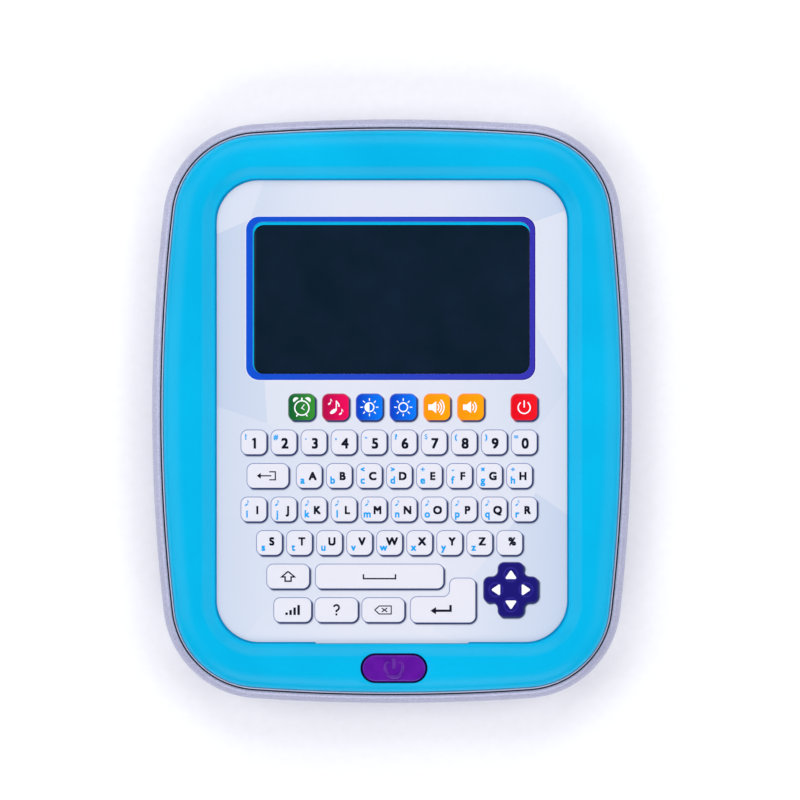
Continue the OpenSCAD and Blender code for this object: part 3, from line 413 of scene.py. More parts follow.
# Bare or plated metal, drawn, stamped or turned: its fine streaks run along one axis
def workedMetal(name, dark, light, stretch, rough):
    material, tree, coords = startMaterial(name)
    drawn = addNode(tree, "ShaderNodeMapping", {"Vector": coords, "Scale": stretch}).outputs[0]
    streak = noise(tree, drawn, 0.4, 3.0)
    cloud = between(tree, noise(tree, coords, 6, 3.0), 0, 0.5)
    tone = compute(tree, "MULTIPLY_ADD", streak, 0.5, cloud)
    return finish(material, {
        "Base Color": ramp(tree, tone, (0.2, dark), (0.8, light)),
        "Metallic": 1.0, "Roughness": between(tree, streak, rough - 0.07, rough + 0.09),
        "Normal": bump(tree, streak, 0.15, 0.02),
    })


def lineNet(tree, coords, size, line, width, height, soft, codes):
    # lines round fields of two tones, with the colours of the fields and of the lines
    return addNode(tree, "ShaderNodeTexBrick", {
        "Vector": coords, "Scale": perMm(size), "Mortar Size": line, "Mortar Smooth": soft,
        "Brick Width": width, "Row Height": height, "Color1": linear(codes[0]), "Color2": linear(codes[1]),
        "Mortar": linear(codes[2])}).outputs


# Glass-fibre board under green solder mask, with copper tracks that show as lighter green lines
def circuitBoard():
    material, tree, coords = startMaterial("solderMaskOnFibreBoard")
    tracks = lineNet(tree, coords, 6, 0.05, 1.4, 0.4, 0.1, ("0C5A33", "0F6238", "2E8A55"))
    weave = addNode(tree, "ShaderNodeTexWave", {"Vector": coords, "Scale": perMm(3), "Distortion": 1.0})
    return finish(material, {
        "Base Color": tracks["Color"], "Roughness": between(tree, weave.outputs["Fac"], 0.28, 0.36),
        "Normal": bump(tree, tracks["Fac"], 0.4, 0.04),
    })


# Clear PET sheet with silver-ink circuit lines printed on it
def circuitSheet():
    material, tree, coords = startMaterial("petSheetWithSilverInk")
    lines = lineNet(tree, coords, 12, 0.06, 1.0, 1.0, 0.05, ("DADDD6", "D3D8D0", "8E9297"))
    return finish(material, {
        "Base Color": lines["Color"], "Roughness": between(tree, noise(tree, coords, 3), 0.18, 0.28),
        "Metallic": between(tree, lines["Fac"], 0.0, 0.5), "Normal": bump(tree, lines["Fac"], 0.3, 0.02),
    })


# Layered contact rubber: conducting and clear layers 0.2 mm thick, drawn at 0.8 mm
def layeredRubber():
    material, tree, coords = startMaterial("layeredContactRubber")
    bands = addNode(tree, "ShaderNodeTexWave", {"Vector": coords, "Scale": perMm(5), "Distortion": 0.0},
                    wave_profile="SIN").outputs["Fac"]
    return finish(material, {
        "Base Color": ramp(tree, bands, (0.4, "3A3A40"), (0.6, "B9B9B4")),
        "Roughness": between(tree, noise(tree, coords, 0.5), 0.5, 0.62),
        "Normal": bump(tree, bands, 0.2, 0.03),
    })


# Printed shrink sleeve over a steel can: a dark body, one pale band, and bare metal at both ends
def cellSleeve(side):
    # side is 1 where the terminal end points to +X, and -1 where it points to -X
    material, tree, coords = startMaterial("shrinkSleeveOverCan" + ("A" if side > 0 else "B"))
    across = addNode(tree, "ShaderNodeSeparateXYZ", {"Vector": coords}).outputs["X"]
    reach = 0.0288 * side  # m, half of a cell and its spring
    along = between(tree, across, 0, 1, -reach, reach)
    scuff = noise(tree, coords, 2, 4.0)
    can, sleeve, band = "C9CACD", "1D3F66", "D9DEE4"
    body = ramp(tree, along, (0.0, can), (0.135, can), (0.14, sleeve), (0.6, "20456E"), (0.605, band),
                (0.66, band), (0.665, sleeve), (0.965, sleeve), (0.97, can), (1.0, can))
    yes, no = "FFFFFF", "000000"
    bare = ramp(tree, along, (0.0, yes), (0.135, yes), (0.14, no), (0.965, no), (0.97, yes), (1.0, yes))
    return finish(material, {
        "Base Color": body, "Metallic": bare, "Roughness": between(tree, scuff, 0.2, 0.36),
        "Normal": bump(tree, scuff, 0.1, 0.02),
    })


pearl = pearlLacquer()
paleTrim = paleLacquer()
cyanGloss = cyanAbs()
film = printedFilm()
printInk = screenInk()
acrylic = tintedAcrylic()
purpleGloss = purpleAbs()
board = circuitBoard()
sheet = circuitSheet()
zinc = workedMetal("zincPlatedSteel", "A3A6AC", "D4D6DA", (1, 1, 0.2), 0.32)
nickel = workedMetal("nickelPlatedWire", "BDBDBA", "E6E5E0", (0.2, 1, 1), 0.22)
whiteAbs = mouldedPlastic("whiteAbs", "D6D7D8", "EDEDED", 0.6, 0.03, 0.42)
creamNylon = mouldedPlastic("creamNylon", "DCD3BA", "EAE3CF", 0.8, 0.02, 0.48)
blackResin = mouldedPlastic("blackEpoxyResin", "0D0D0F", "1C1C20", 0.7, 0.05, 0.3)
silicone = mouldedPlastic("greySilicone", "B4B6BC", "CFD1D6", 0.9, 0.02, 0.5,
                          {"Subsurface Weight": 0.2, "Subsurface Scale": 0.002})
blackRubber = mouldedPlastic("blackRubber", "141416", "26262A", 0.5, 0.08, 0.68, {"Specular IOR Level": 0.3})
blackFoam = mouldedPlastic("closedCellFoam", "101012", "2A2A2D", 0.35, 0.2, 0.85)
pressedPaper = mouldedPlastic("pressedPaper", "1C1C1E", "303034", 0.45, 0.12, 0.8)
glass = mouldedPlastic("bondedDisplayGlass", "55635F", "67756F", 1.5, 0.005, 0.12, {"Coat Weight": 0.5})
redPvc = mouldedPlastic("redPvc", "A3141A", "B92026", 0.6, 0.02, 0.36)
blackPvc = mouldedPlastic("blackPvc", "121214", "202024", 0.6, 0.02, 0.36)
# a dark plastic painted into the seam's groove as its shade
seamShadePlastic = mouldedPlastic("paintedSeamShade", "22243A", "2C2E46", 0.5, 0.03, 0.6)
palePvc = mouldedPlastic("palePvc", "D2CAB0", "DFD8C2", 0.6, 0.02, 0.36)
print("materials made")


# Pieces that repeat

def dress(material, *names):
    # gives CAD nodes a better material and leaves their shape alone
    for name in names:
        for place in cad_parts[name].material_slots:
            place.material = material


def placeAll(name, template, places, material, spin=0.0, seed=1):
    # copies of a template on a list of places, as one plain mesh
    piece = makePiece(name, (places, []))
    runTree(piece, placeTree, {"Template": template, "Spin": spin, "Seed": seed, "Material": material})
    return piece


def runTree(piece, tree, values):
    modifier = piece.modifiers.new(tree.name, "NODES")
    modifier.node_group = tree
    for item in tree.interface.items_tree:
        if item.in_out == "INPUT" and item.name in values:
            modifier[item.identifier] = values[item.name]
    applyModifiers(piece)


def startTree(name, inputs):
    tree = bpy.data.node_groups.new(name, "GeometryNodeTree")
    tree.interface.new_socket("Geometry", in_out="INPUT", socket_type="NodeSocketGeometry")
    for label, kind in inputs:
        tree.interface.new_socket(label, in_out="INPUT", socket_type="NodeSocket" + kind)
    tree.interface.new_socket("Geometry", in_out="OUTPUT", socket_type="NodeSocketGeometry")
    return tree, addNode(tree, "NodeGroupInput").outputs


def endTree(tree, geometry, material):
    real = addNode(tree, "GeometryNodeRealizeInstances", {"Geometry": geometry})
    done = addNode(tree, "GeometryNodeSetMaterial", {"Geometry": real.outputs[0], "Material": material})
    addNode(tree, "NodeGroupOutput", {"Geometry": done.outputs[0]})


# One copy of the template on every point, each turned about Z by a random share of Spin
def buildPlaceTree():
    tree, given = startTree("placeOnPoints", [("Template", "Object"), ("Spin", "Float"), ("Seed", "Int"),
                                              ("Material", "Material")])
    model = addNode(tree, "GeometryNodeObjectInfo", {"Object": given["Template"]})
    turn = addNode(tree, "FunctionNodeRandomValue", {3: given["Spin"], "Seed": given["Seed"]},
                   data_type="FLOAT")
    euler = addNode(tree, "ShaderNodeCombineXYZ", {"Z": turn.outputs[1]})
    copies = addNode(tree, "GeometryNodeInstanceOnPoints",
                     {"Points": given["Geometry"], "Instance": model.outputs["Geometry"],
                      "Rotation": euler.outputs[0]})
    endTree(tree, copies.outputs["Instances"], given["Material"])
    return tree


placeTree = buildPlaceTree()

# Back housing
below = -1.0  # mm, where cutters start, clear of everything
back = {  # mm; an inset is measured inwards from the widest outline
    "underside": 1.2, "bellyInset": 16.0, "bellyHeight": 14.2, "rimWidth": 3.3, "rimHeight": 20.0,
    # inset and height down the seam's groove, over its ledge and down the inner wall
    "seam": ((3.42, 19.95), (3.5, 19.8), (3.5, 18.4), (5.6, 18.4), (5.6, 17.2), (2.6, 15.2)),
    # the first two: heights between which faces in the groove are painted dark as shade
    "seamShadeLow": 18.3, "seamShadeHigh": 19.9, "wall": 2.2, "steps": 16, "screws": (70.48, 93.84),
    "sideScrews": (82.2, 4.0), "postRadius": 4.5, "postLow": 2.3, "postTop": 15.0, "wellRadius": 3.2,
    "wellTop": 11.0, "holeRadius": 1.6, "softEdge": 0.35, "feet": (61.28, 84.65), "footRadius": 6.15,
    "footSink": 2.0, "speaker": (-30.0, 50.0),
    "grilleRadius": 1.1, "grilleEdge": 0.2, "grilleTop": 4.0, "grillePitch": 4.6, "grilleRings": 3,
}


def fourPlaces(x, y):
    return [(x * sx, y * sy) for sx in (-1, 1) for sy in (-1, 1)]


sideX, sideY = back["sideScrews"]
screwPlaces = fourPlaces(*back["screws"]) + [(-sideX, sideY), (sideX, sideY)]
footPlaces = fourPlaces(*back["feet"])
speakerCentre = Vector(back["speaker"])

# Battery bay, with the outline of its door; the tongue is the door's finger end
bay = {  # mm
    "centreY": -36.0, "width": 58.4, "length": 46.2, "wall": 1.6, "cellTop": 17.6, "roof": 19.0,
    "rowPitch": 15.1, "doorWidth": 63.2, "doorLow": -62.5, "doorHigh": -9.9, "tongueWidth": 17.0,
    "tongueEnd": -1.3, "overlap": 2.0, "gap": 0.4, "radius": 3.0, "seat": 2.95, "mouthCut": 3.6,
    "mouthWall": 1.8, "mouthTop": 4.8,
    # middle, width and length of the walls and the room round the tongue
    "tongueWall": (-6.6, 21.4, 15.0), "tongueWell": (-6.2, 17.8, 10.6), "tongueRoof": 5.0, "tongueCover": 1.6,
    "screwY": -6.5, "bossRadius": 4.2, "bossLow": 5.0, "bossTop": 10.0, "holeRadius": 1.6, "holeTop": 8.6,
    # middle, length and lower end of the two cuts for each of the door's tabs
    "tabX": 18.0, "tabWidth": 11.0, "tabCuts": ((-64.2, 3.4, 3.4), (-60.75, 4.3, below)), "tabTop": 6.2,
}


def edgeRings(inset, height, run, rise, start, end, steps):
    # rings along an elliptic edge: its centre, half axes and angles in degrees
    turns = [math.radians(start + (end - start) * i / steps) for i in range(steps + 1)]
    return [bowRing(inset - run * math.cos(t), height + rise * math.sin(t)) for t in turns]


def backShell():
    b = back
    inset, height, rim, n = b["bellyInset"], b["bellyHeight"], b["rimWidth"], b["steps"]
    depth = height - b["underside"]
    return loft(edgeRings(inset, height, inset, -depth, 90, 0, n + 4)
                + edgeRings(rim, height, rim, b["rimHeight"] - height, 5, 90, n)
                + [bowRing(*place) for place in b["seam"]]
                + edgeRings(inset, height, inset - b["wall"], b["wall"] - depth, 5, 90, n))


def well(x, y):
    # counterbore with a soft mouth, and the screw's hole above it
    low, soft, radius, hole = [back[key] for key in ("underside", "softEdge", "wellRadius", "holeRadius")]
    seat, top = back["wellTop"], back["postTop"] + 1
    return revolve([(radius + soft + 1, below), (radius + soft, low), (radius, low + soft), (radius, seat),
                    (hole, seat), (hole, top)], (x, y), 40)


def grilleHoles():
    b = back
    spots = [speakerCentre.copy()]
    for ring in range(1, b["grilleRings"] + 1):
        for i in range(6 * ring):
            out = direction(math.radians(60 * i / ring))
            spots.append(speakerCentre + ring * b["grillePitch"] * out)
    low, r, edge = b["underside"], b["grilleRadius"], b["grilleEdge"]
    hole = [(r + edge + 1, below), (r + edge, low), (r, low + edge), (r, b["grilleTop"])]
    return join([revolve(hole, spot, 20) for spot in spots])


def doorOutline(grow, z0, z1):
    # the door's plate and its tongue as two solids, which overlap a little
    low, high, end, extra = [bay[key] for key in ("doorLow", "doorHigh", "tongueEnd", "overlap")]
    plate = roundRectangle((0, (low + high) / 2, bay["doorWidth"], high - low, bay["radius"]), grow)
    tongue = rectangle(0, (high + end) / 2 - extra / 2, bay["tongueWidth"] + 2 * grow,
                       end - high + extra + 2 * grow)
    return prism(plate, z0, z1), prism(tongue, z0, z1)


def buildBack():
    b, y = back, bay
    low, screw, wall = b["underside"], (0, y["screwY"]), 2 * y["wall"]
    piece = makePiece("back_shell", backShell(), [pearl])
    cut(piece, *doorOutline(y["gap"], below, y["mouthCut"]))
    add(piece, *doorOutline(y["gap"] + y["mouthWall"], low, y["mouthTop"]))
    add(piece, box(0, y["centreY"], y["width"] + wall, y["length"] + wall, low, y["roof"]),
        box(0, *y["tongueWall"], low, y["tongueRoof"] + y["tongueCover"]),
        revolve([(y["bossRadius"], y["bossLow"]), (y["bossRadius"], y["bossTop"])], screw))
    post = [(b["postRadius"], b["postLow"]), (b["postRadius"], b["postTop"])]
    add(piece, join([revolve(post, spot) for spot in screwPlaces]))
    cut(piece, *doorOutline(y["gap"], below, y["seat"]))
    cut(piece, box(0, *y["tongueWell"], below, y["tongueRoof"]),
        box(0, y["centreY"], y["width"], y["length"], below, y["cellTop"]),
        revolve([(y["holeRadius"], below), (y["holeRadius"], y["holeTop"])], screw))
    for middle, length, start in y["tabCuts"]:
        cut(piece, join([box(sx * y["tabX"], middle, y["tabWidth"], length, start, y["tabTop"])
                         for sx in (-1, 1)]))
    foot = [(b["footRadius"], below), (b["footRadius"], b["footSink"])]
    cut(piece, join([well(*spot) for spot in screwPlaces]),
        join([revolve(foot, spot, 48) for spot in footPlaces]), grilleHoles())
    paintSeamShade(piece)
    smooth(piece, 32)
    return piece


def paintSeamShade(piece):
    # painted shade: faces deep in the groove for the trim ring get a dark plastic that stands in for the
    # shade in the seam
    piece.data.materials.append(seamShadePlastic)
    last = len(piece.data.materials) - 1
    for face in piece.data.polygons:
        place, out = face.center / mm, face.normal
        inwards = out.x * place.x + out.y * place.y < 0 or out.z > 0.99
        if back["seamShadeLow"] < place.z < back["seamShadeHigh"] and inwards:
            face.material_index = last


def keep(piece, body, slot, *nodes):
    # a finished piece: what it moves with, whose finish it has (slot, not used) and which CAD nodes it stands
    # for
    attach(piece, body)
    if nodes:
        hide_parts(*nodes)


keep(buildBack(), "housing", "silver_abs", "back_housing")
print("back housing built")

# Trim ring in the seam
trim = {"outer": 4.0, "inner": 4.7, "flange": 6.6, "low": 18.4, "joint": 19.4, "lip": 20.6, "steps": 8}  # mm


def trimRings():
    t = trim
    radius, middle = (t["inner"] - t["outer"]) / 2, (t["inner"] + t["outer"]) / 2
    turns = [math.pi * i / t["steps"] for i in range(t["steps"] + 1)]
    lip = [bowRing(middle - radius * math.cos(a), t["lip"] - radius + radius * math.sin(a)) for a in turns]
    return ([bowRing(t["flange"], t["low"]), bowRing(t["outer"], t["low"])] + lip
            + [bowRing(t["inner"], t["joint"]), bowRing(t["flange"], t["joint"])])


trimRing = makePiece("trim_ring_lip", loft(trimRings(), False), [paleTrim], 50)
keep(trimRing, "housing", "trim_abs", "trim_ring")
print("trim ring built")

# Front bezel
bezel = {  # mm
    "joint": 19.4, "inset": 4.8, "edgeHeight": 21.0, "crown": 26.2, "crownInset": 13.3, "wall": 2.2,
    # growth of the panel's outline and height, up the inner side of the opening's wall
    "inner": ((2.0, 19.4), (2.0, 22.1), (5.6, 23.9)), "innerSteps": 8, "steps": 18,
    "dishWidth": 5.4, "dishDepth": 2.1, "lip": 0.4, "lipSteps": 4, "deck": 22.0,
    # middle, width, length and corner radius of the window, the button's hole and collar and the membrane's
    # pocket, each with its heights
    "window": (0, 44.6, 110.3, 59.7, 4.0), "windowCut": (19.0, 23.0),
    "hole": (0.8, -102.55, 26.7, 11.9, 5.94), "holeLow": 20.0,
    "collar": (0.8, -102.55, 29.5, 14.7, 7.3), "collarWall": (20.4, 24.0),
    "membrane": (0, -40.05, 133.4, 98.3, 12), "membraneCut": (21.4, 22.1),
    # growth of the button's hole and depth under the surface, up its rounded edge
    "holeEdge": ((0, 0.45), (0.06, 0.25), (0.2, 0.1), (0.5, -0.04), (0.5, -2)),
    "bossRadius": 3.4, "bossLow": 15.2, "bossTop": 25.0,
}


def dishFall(t):
    # share of the dish's depth at a share of its width
    return 0.6 * t * t * (3 - 2 * t) + 0.4 * t


def dishRings():
    # soft shoulder, falling face and rolled lip round the panel
    b, lip = bezel, bezel["lip"]
    foot = b["crown"] - b["dishDepth"]
    shares = [i / b["steps"] for i in range(b["steps"] + 1)]
    turns = [math.pi / 2 * i / b["lipSteps"] for i in range(1, b["lipSteps"] + 1)]
    return ([panelRing(b["dishWidth"] * (1 - t) + lip * t, b["crown"] - b["dishDepth"] * dishFall(t))
             for t in shares]
            + [panelRing(lip - lip * math.sin(a), foot - lip + lip * math.cos(a)) for a in turns]
            + [panelRing(0, b["deck"])])


def crownHeight(x, y):
    # height of the lower strip between the outer edge and the shoulder
    b = bezel
    inset = outline["endRadius"] - math.hypot(x, y - (outline["endRadius"] - outline["halfLength"]))
    run, rise = b["crownInset"] - b["inset"], b["crown"] - b["edgeHeight"]
    edge = b["edgeHeight"] + rise * math.sqrt(1 - max(0, (b["crownInset"] - inset) / run) ** 2)
    t = 1 - min(1, (-y - outline["panelHalfLength"] - b["lip"]) / (b["dishWidth"] - b["lip"]))
    return min(edge, b["crown"] - b["dishDepth"] * dishFall(t))


def buttonHole():
    # cutter whose sides turn out just under the surface and leave a rounded edge
    hole = bezel["hole"]
    rings = [atHeight(roundRectangle(hole, 0, 20), bezel["holeLow"])]
    for grow, drop in bezel["holeEdge"]:
        rings.append([(p.x, p.y, crownHeight(p.x, p.y) - drop) for p in roundRectangle(hole, grow, 20)])
    return loft(rings)


def buildBezel():
    b = bezel
    wall, run, rise = b["wall"], b["crownInset"] - b["inset"], b["crown"] - b["edgeHeight"]
    rings = [panelRing(*place) for place in b["inner"]]
    rings += edgeRings(b["crownInset"], b["edgeHeight"], run - wall, rise - wall, 90, 0, b["innerSteps"])
    rings += [bowRing(b["inset"] + wall, b["joint"]), bowRing(b["inset"], b["joint"])]
    rings += edgeRings(b["crownInset"], b["edgeHeight"], run, rise, 0, 90, b["steps"])
    piece = makePiece("front_bezel_shell", loft(rings + dishRings()), [cyanGloss])
    add(piece, prism(roundRectangle(b["collar"], steps=16), *b["collarWall"]))
    cut(piece, buttonHole(), prism(roundRectangle(b["window"]), *b["windowCut"]),
        prism(roundRectangle(b["membrane"]), *b["membraneCut"]))
    boss = [(b["bossRadius"], b["bossLow"]), (b["bossRadius"], b["bossTop"])]
    add(piece, join([revolve(boss, spot) for spot in screwPlaces]))
    smooth(piece, 30)
    return piece


keep(buildBezel(), "housing", "cyan_abs", "front_bezel")
print("front bezel built")

# Printed keypad film
keypad = {  # mm
    "under": 22.0, "top": 22.4,
    # middle, width, length and corner radius of the sheet and of its window
    "plan": (0, 0, 140.0, 184.4, 16.9), "window": (-0.3, 45.3, 110.7, 60.8, 4.2),
    "tab": ((-30.9, -91.2), (-30.4, -92.75), (30.4, -92.75), (30.9, -91.2)),
    "keyTop": 22.75, "keyWidth": 10.2, "keyLength": 9.8, "keyRadius": 2.6, "pitch": 12.0,
    "firstRow": -12.4, "rowPitch": 13.4, "keySink": 0.05, "shadowSpread": 1.3,
    # x of the first letter key, how many keys there are and their row
    "letterRows": ((-55.2, 10, 0), (-33.1, 8, 1), (-55.2, 10, 2), (-49.0, 9, 3)),
    # x, row and width of the wide keys: leave, shift, space bar, level, help and delete
    "wideKeys": ((-49.6, 1, 16.6), (-41.5, 4, 17), (-5.0, 4, 51.2), (-39.7, 5, 15), (-22.2, 5, 17.2),
                 (-3.5, 5, 17)),
    "enterKey": ((7.35, -84.5), (33.4, -84.5), (33.4, -66.7), (23.0, -66.7), (23.0, -74.1), (7.35, -74.1)),
    "iconY": 1.6, "iconKey": 10.6,
}
iconKeys = [  # x in mm, left and right colour of the face
    (-36.0, "00562C", "36902E"), (-22.5, "AC0042", "EE0058"), (-9.0, "0036B8", "0078F2"),
    (4.5, "0038BC", "0078F2"), (18.0, "FF9000", "FFA200"), (31.5, "FF9000", "FFA200"),
    (52.8, "E2001A", "F0101E"),
]
arrowPad = {  # mm, and radius and height over the keys of its domes
    "x": 47.5, "y": -71.3, "width": 21.8, "arm": 10.3, "radius": 2.5, "domeAt": 6.0, "peak": 0.03,
    "dome": ((3.1, -0.1), (3.1, 0), (2.75, 0.2), (2.2, 0.3)), "litFrom": 0.02, "litTo": 0.25,
}
inks = {
    "face": "E3E2E9", "shadow": "172A5E", "outline": "5F73AC", "legend": "060A22", "second": "009FE8",
    "white": "F6F6FB", "indigo": "16106E", "highlightViolet": "241A8E", "pale": "ECEAF4",
}
noInk = (0, 0, 0, 0)
shadowFall = Vector((1, -1)).normalized()  # towards the lower right
rowY = [keypad["firstRow"] - keypad["rowPitch"] * row for row in range(6)]
letterKeys = [(x + keypad["pitch"] * i, rowY[row])
              for x, count, row in keypad["letterRows"] for i in range(count)]


def smoothStep(value):
    t = min(max(value, 0.0), 1.0)
    return t * t * (3 - 2 * t)


def mixInk(a, b, share):
    return tuple(p + (q - p) * share for p, q in zip(a, b))


# growth of the ring on the lit side and on the shadow side, height above the film, cover of the ink there
keySection = [
    (0.3, 1.25, 0.004, 0.0, 0.0), (0.22, 0.85, 0.008, 0.2, 0.35), (0.13, 0.55, 0.012, 0.85, 0.95),
    (0.0, 0.0, 0.02, 0.9, 1.0), (-0.08, -0.08, 0.1, 0.8, 1.0), (-0.14, -0.14, 0.2, None, None),
    (-0.5, -0.5, 0.32, None, None), (-0.95, -0.95, 0.35, None, None),
]


def keySolid(corners, radius, faceInk, outlineInk=None, steps=7):
    # a pillow of film with its printed shadow and outline; faceInk gives the ink at a point of its face
    points, normals = roundCorners(corners, radius, steps)
    shadow, edge = linear(inks["shadow"]), outlineInk or linear(inks["outline"])
    rings, cover = [], []
    for lit, shaded, height, litCover, shadeCover in keySection:
        ring = []
        for p, n in zip(points, normals):
            share = smoothStep(n.dot(shadowFall) * keypad["shadowSpread"])
            q = p + n * (lit + (shaded - lit) * share)
            ring.append((q.x, q.y, keypad["top"] + height))
            if litCover is None:
                cover.append(faceInk(q))
            else:
                cover.append(mixInk(edge, shadow, share)[:3] + (litCover + (shadeCover - litCover) * share,))
        rings.append(ring)
    foot = [(x, y, keypad["top"] - keypad["keySink"]) for x, y, z in rings[0]]
    verts, faces = loft([foot] + rings)
    return verts, faces, [noInk] * len(foot) + cover


def plainInk(code, cover=1.0):
    colour = linear(code)[:3] + (cover,)
    return lambda point: colour


def slantInk(left, right, x, width):
    # runs evenly from one colour to another across a key
    a, b = linear(left)[:3] + (1.0,), linear(right)[:3] + (1.0,)
    return lambda point: mixInk(a, b, (point.x - x) / width + 0.5)


def makePrinted(name, parts, material):
    verts, faces = join([part[:2] for part in parts])
    piece = makePiece(name, (verts, faces), [material], 60)
    setInk(piece, [c for part in parts for c in part[2]])
    return piece


def setInk(piece, colours):
    ink = piece.data.color_attributes.new(name="ink", type="FLOAT_COLOR", domain="POINT")
    ink.data.foreach_set("color", [v for colour in colours for v in colour])


def crossCorners(x, y, width, arm):
    w, a = width / 2, arm / 2
    plan = [(-a, -w), (a, -w), (a, -a), (w, -a), (w, a), (a, a), (a, w), (-a, w), (-a, a), (-w, a), (-w, -a),
            (-a, -a)]
    return path(x, y, plan)


def arrowDome(x, y):
    a, z = arrowPad, keypad["keyTop"]
    verts, faces = revolve([(r, z + height) for r, height in a["dome"]], (x, y), 28, a["peak"])
    # painted highlight: the dome's slope between litFrom and litTo is inked a paler violet, standing in for
    # the light it catches
    light, deep = linear(inks["highlightViolet"]), linear(inks["indigo"])
    return verts, faces, [light if z + a["litFrom"] < v[2] < z + a["litTo"] else deep for v in verts]


def joinPieces(piece, others):
    with bpy.context.temp_override(active_object=piece, object=piece, selected_objects=[piece] + others,
                                   selected_editable_objects=[piece] + others):
        bpy.ops.object.join()


def filmSheet():
    k = keypad
    plan = roundRectangle(k["plan"], steps=24)
    piece = makePiece("keypad_film_sheet", prism(plan, k["under"], k["top"]), [film])
    add(piece, prism(path(0, 0, k["tab"]), k["under"], k["top"]))
    cut(piece, prism(roundRectangle(k["window"], steps=12), k["under"] - 1, k["top"] + 0.6))
    smooth(piece, 20)
    setInk(piece, [noInk] * len(piece.data.vertices))
    return piece


def buildFilm():
    k, a, y = keypad, arrowPad, keypad["iconY"]
    piece, face, radius, indigo = filmSheet(), plainInk(inks["face"], 0.9), k["keyRadius"], inks["indigo"]
    oneKey = keySolid(rectangle(0, 0, k["keyWidth"], k["keyLength"]), radius, face)
    template = makePrinted("key_template", [oneKey], film)
    letters = placeAll("letter_keys", template, [(*spot, 0) for spot in letterKeys], film)
    bpy.data.objects.remove(template)
    parts = [keySolid(rectangle(x, rowY[row], width, k["keyLength"]), radius, face)
             for x, row, width in k["wideKeys"]]
    parts.append(keySolid(path(0, 0, k["enterKey"]), radius, face))
    for x, left, right in iconKeys:
        parts.append(keySolid(rectangle(x, y, k["iconKey"], k["iconKey"]), radius,
                              slantInk(left, right, x, k["iconKey"]), linear(left)))
    parts.append(keySolid(crossCorners(a["x"], a["y"], a["width"], a["arm"]), a["radius"], plainInk(indigo),
                          linear(indigo), 8))
    parts += [arrowDome(a["x"] + sx * a["domeAt"], a["y"] + sy * a["domeAt"])
              for sx, sy in ((1, 0), (0, 1), (-1, 0), (0, -1))]
    joinPieces(piece, [letters, makePrinted("wide_keys", parts, film)])
    return piece


keep(buildFilm(), "housing", "printed_film", "keypad_film")
print("keypad film built")

# Power button
button = {  # mm
    "x": 0.8, "y": -102.55, "width": 25.3, "height": 10.5, "flange": 1.2, "flangeLow": 18.7,
    "flangeTop": 20.1, "top": 25.8, "edge": 0.7, "crown": 0.3, "steps": 8,
    "hollow": (22.3, 7.5, 3.8), "hollowCut": (18.0, 24.0),
    "stemRadius": 2.5, "stemLow": 16.6, "stemTop": 24.4, "symbolRadius": 3.5, "symbolDrop": 0.1,
    # width of the raised line at each height, with a gentle shoulder that catches the light
    "symbolSteps": ((1.35, 25.4), (1.35, 25.7), (1.25, 25.98), (0.65, 26.13), (0.2, 26.2)),
}


def stadiumRing(shrink, z):
    width, height = button["width"] - 2 * shrink, button["height"] - 2 * shrink
    plan = (button["x"], button["y"], width, height, height / 2 - 0.01)
    return atHeight(roundRectangle(plan, steps=16), z)


def arcPath(cx, cy, radius, start, end, steps=20):
    turns = [math.radians(start + (end - start) * i / steps) for i in range(steps + 1)]
    return [Vector((cx + radius * math.cos(t), cy + radius * math.sin(t))) for t in turns]


def ribbon(path, width):
    # outline of a line drawn along a path
    left, right = [], []
    for i, p in enumerate(path):
        before = (p - path[i - 1]).normalized() if i else (path[1] - p).normalized()
        after = (path[i + 1] - p).normalized() if i + 1 < len(path) else before
        along = (before + after).normalized()
        side = Vector((-along.y, along.x)) * (width / 2) / max(along.dot(before), 0.4)
        left.append(p + side)
        right.append(p - side)
    return right + left[::-1]


def powerSymbol(x, y, radius, line):
    ring = ribbon(arcPath(x, y, radius, 125, 415, 28), line)
    return ring, rectangle(x, y + radius * 0.58, line, radius * 1.16)


def buildButton():
    b = button
    flange, edge, n = b["flange"], b["edge"], b["steps"]
    rings = [stadiumRing(-flange, b["flangeLow"]), stadiumRing(-flange, b["flangeTop"]),
             stadiumRing(0, b["flangeTop"])]
    foot, reach = b["top"] - b["crown"] - edge, b["height"] / 2 - edge
    for turn in [math.pi / 2 * i / n for i in range(n + 1)]:
        rings.append(stadiumRing(edge * (1 - math.cos(turn)), foot + edge * math.sin(turn)))
    for share in [i / (n + 0.1) for i in range(1, n + 1)]:
        rings.append(stadiumRing(edge + reach * share, b["top"] - b["crown"] * (1 - share) ** 2))
    piece = makePiece("power_button_cap", loft(rings), [purpleGloss])
    cut(piece, prism(roundRectangle((b["x"], b["y"], *b["hollow"]), steps=12), *b["hollowCut"]))
    add(piece, revolve([(b["stemRadius"], b["stemLow"]), (b["stemRadius"], b["stemTop"])], (b["x"], b["y"])))
    middle = b["y"] - b["symbolDrop"]
    levels = [[atHeight(plan, z) for plan in powerSymbol(b["x"], middle, b["symbolRadius"], line)]
              for line, z in b["symbolSteps"]]
    add(piece, *[loft(rings) for rings in zip(*levels)])
    smooth(piece, 28)
    return piece


keep(buildButton(), "power_button", "purple_abs", "power_button")
print("power button built")

# Printing on the film
printing = {  # mm, and the height of a capital for a font size of 1
    "lift": 0.012, "level": 0.006, "sink": 0.02, "ringSink": 0.03, "iconLine": 0.5, "capital": 0.73,
    "frame": (-0.5, 45.1, 115.6, 65.3, 5.2), "frameInner": (-0.3, 45.3, 110.72, 60.82, 4.2),
    "frameTop": 0.014, "frameFoot": -0.05,
    "arrow": ((4.3, -2.5), (8.0, 0), (4.3, 2.5)), "arrowRadius": 0.45, "arrowRise": 0.36,
}


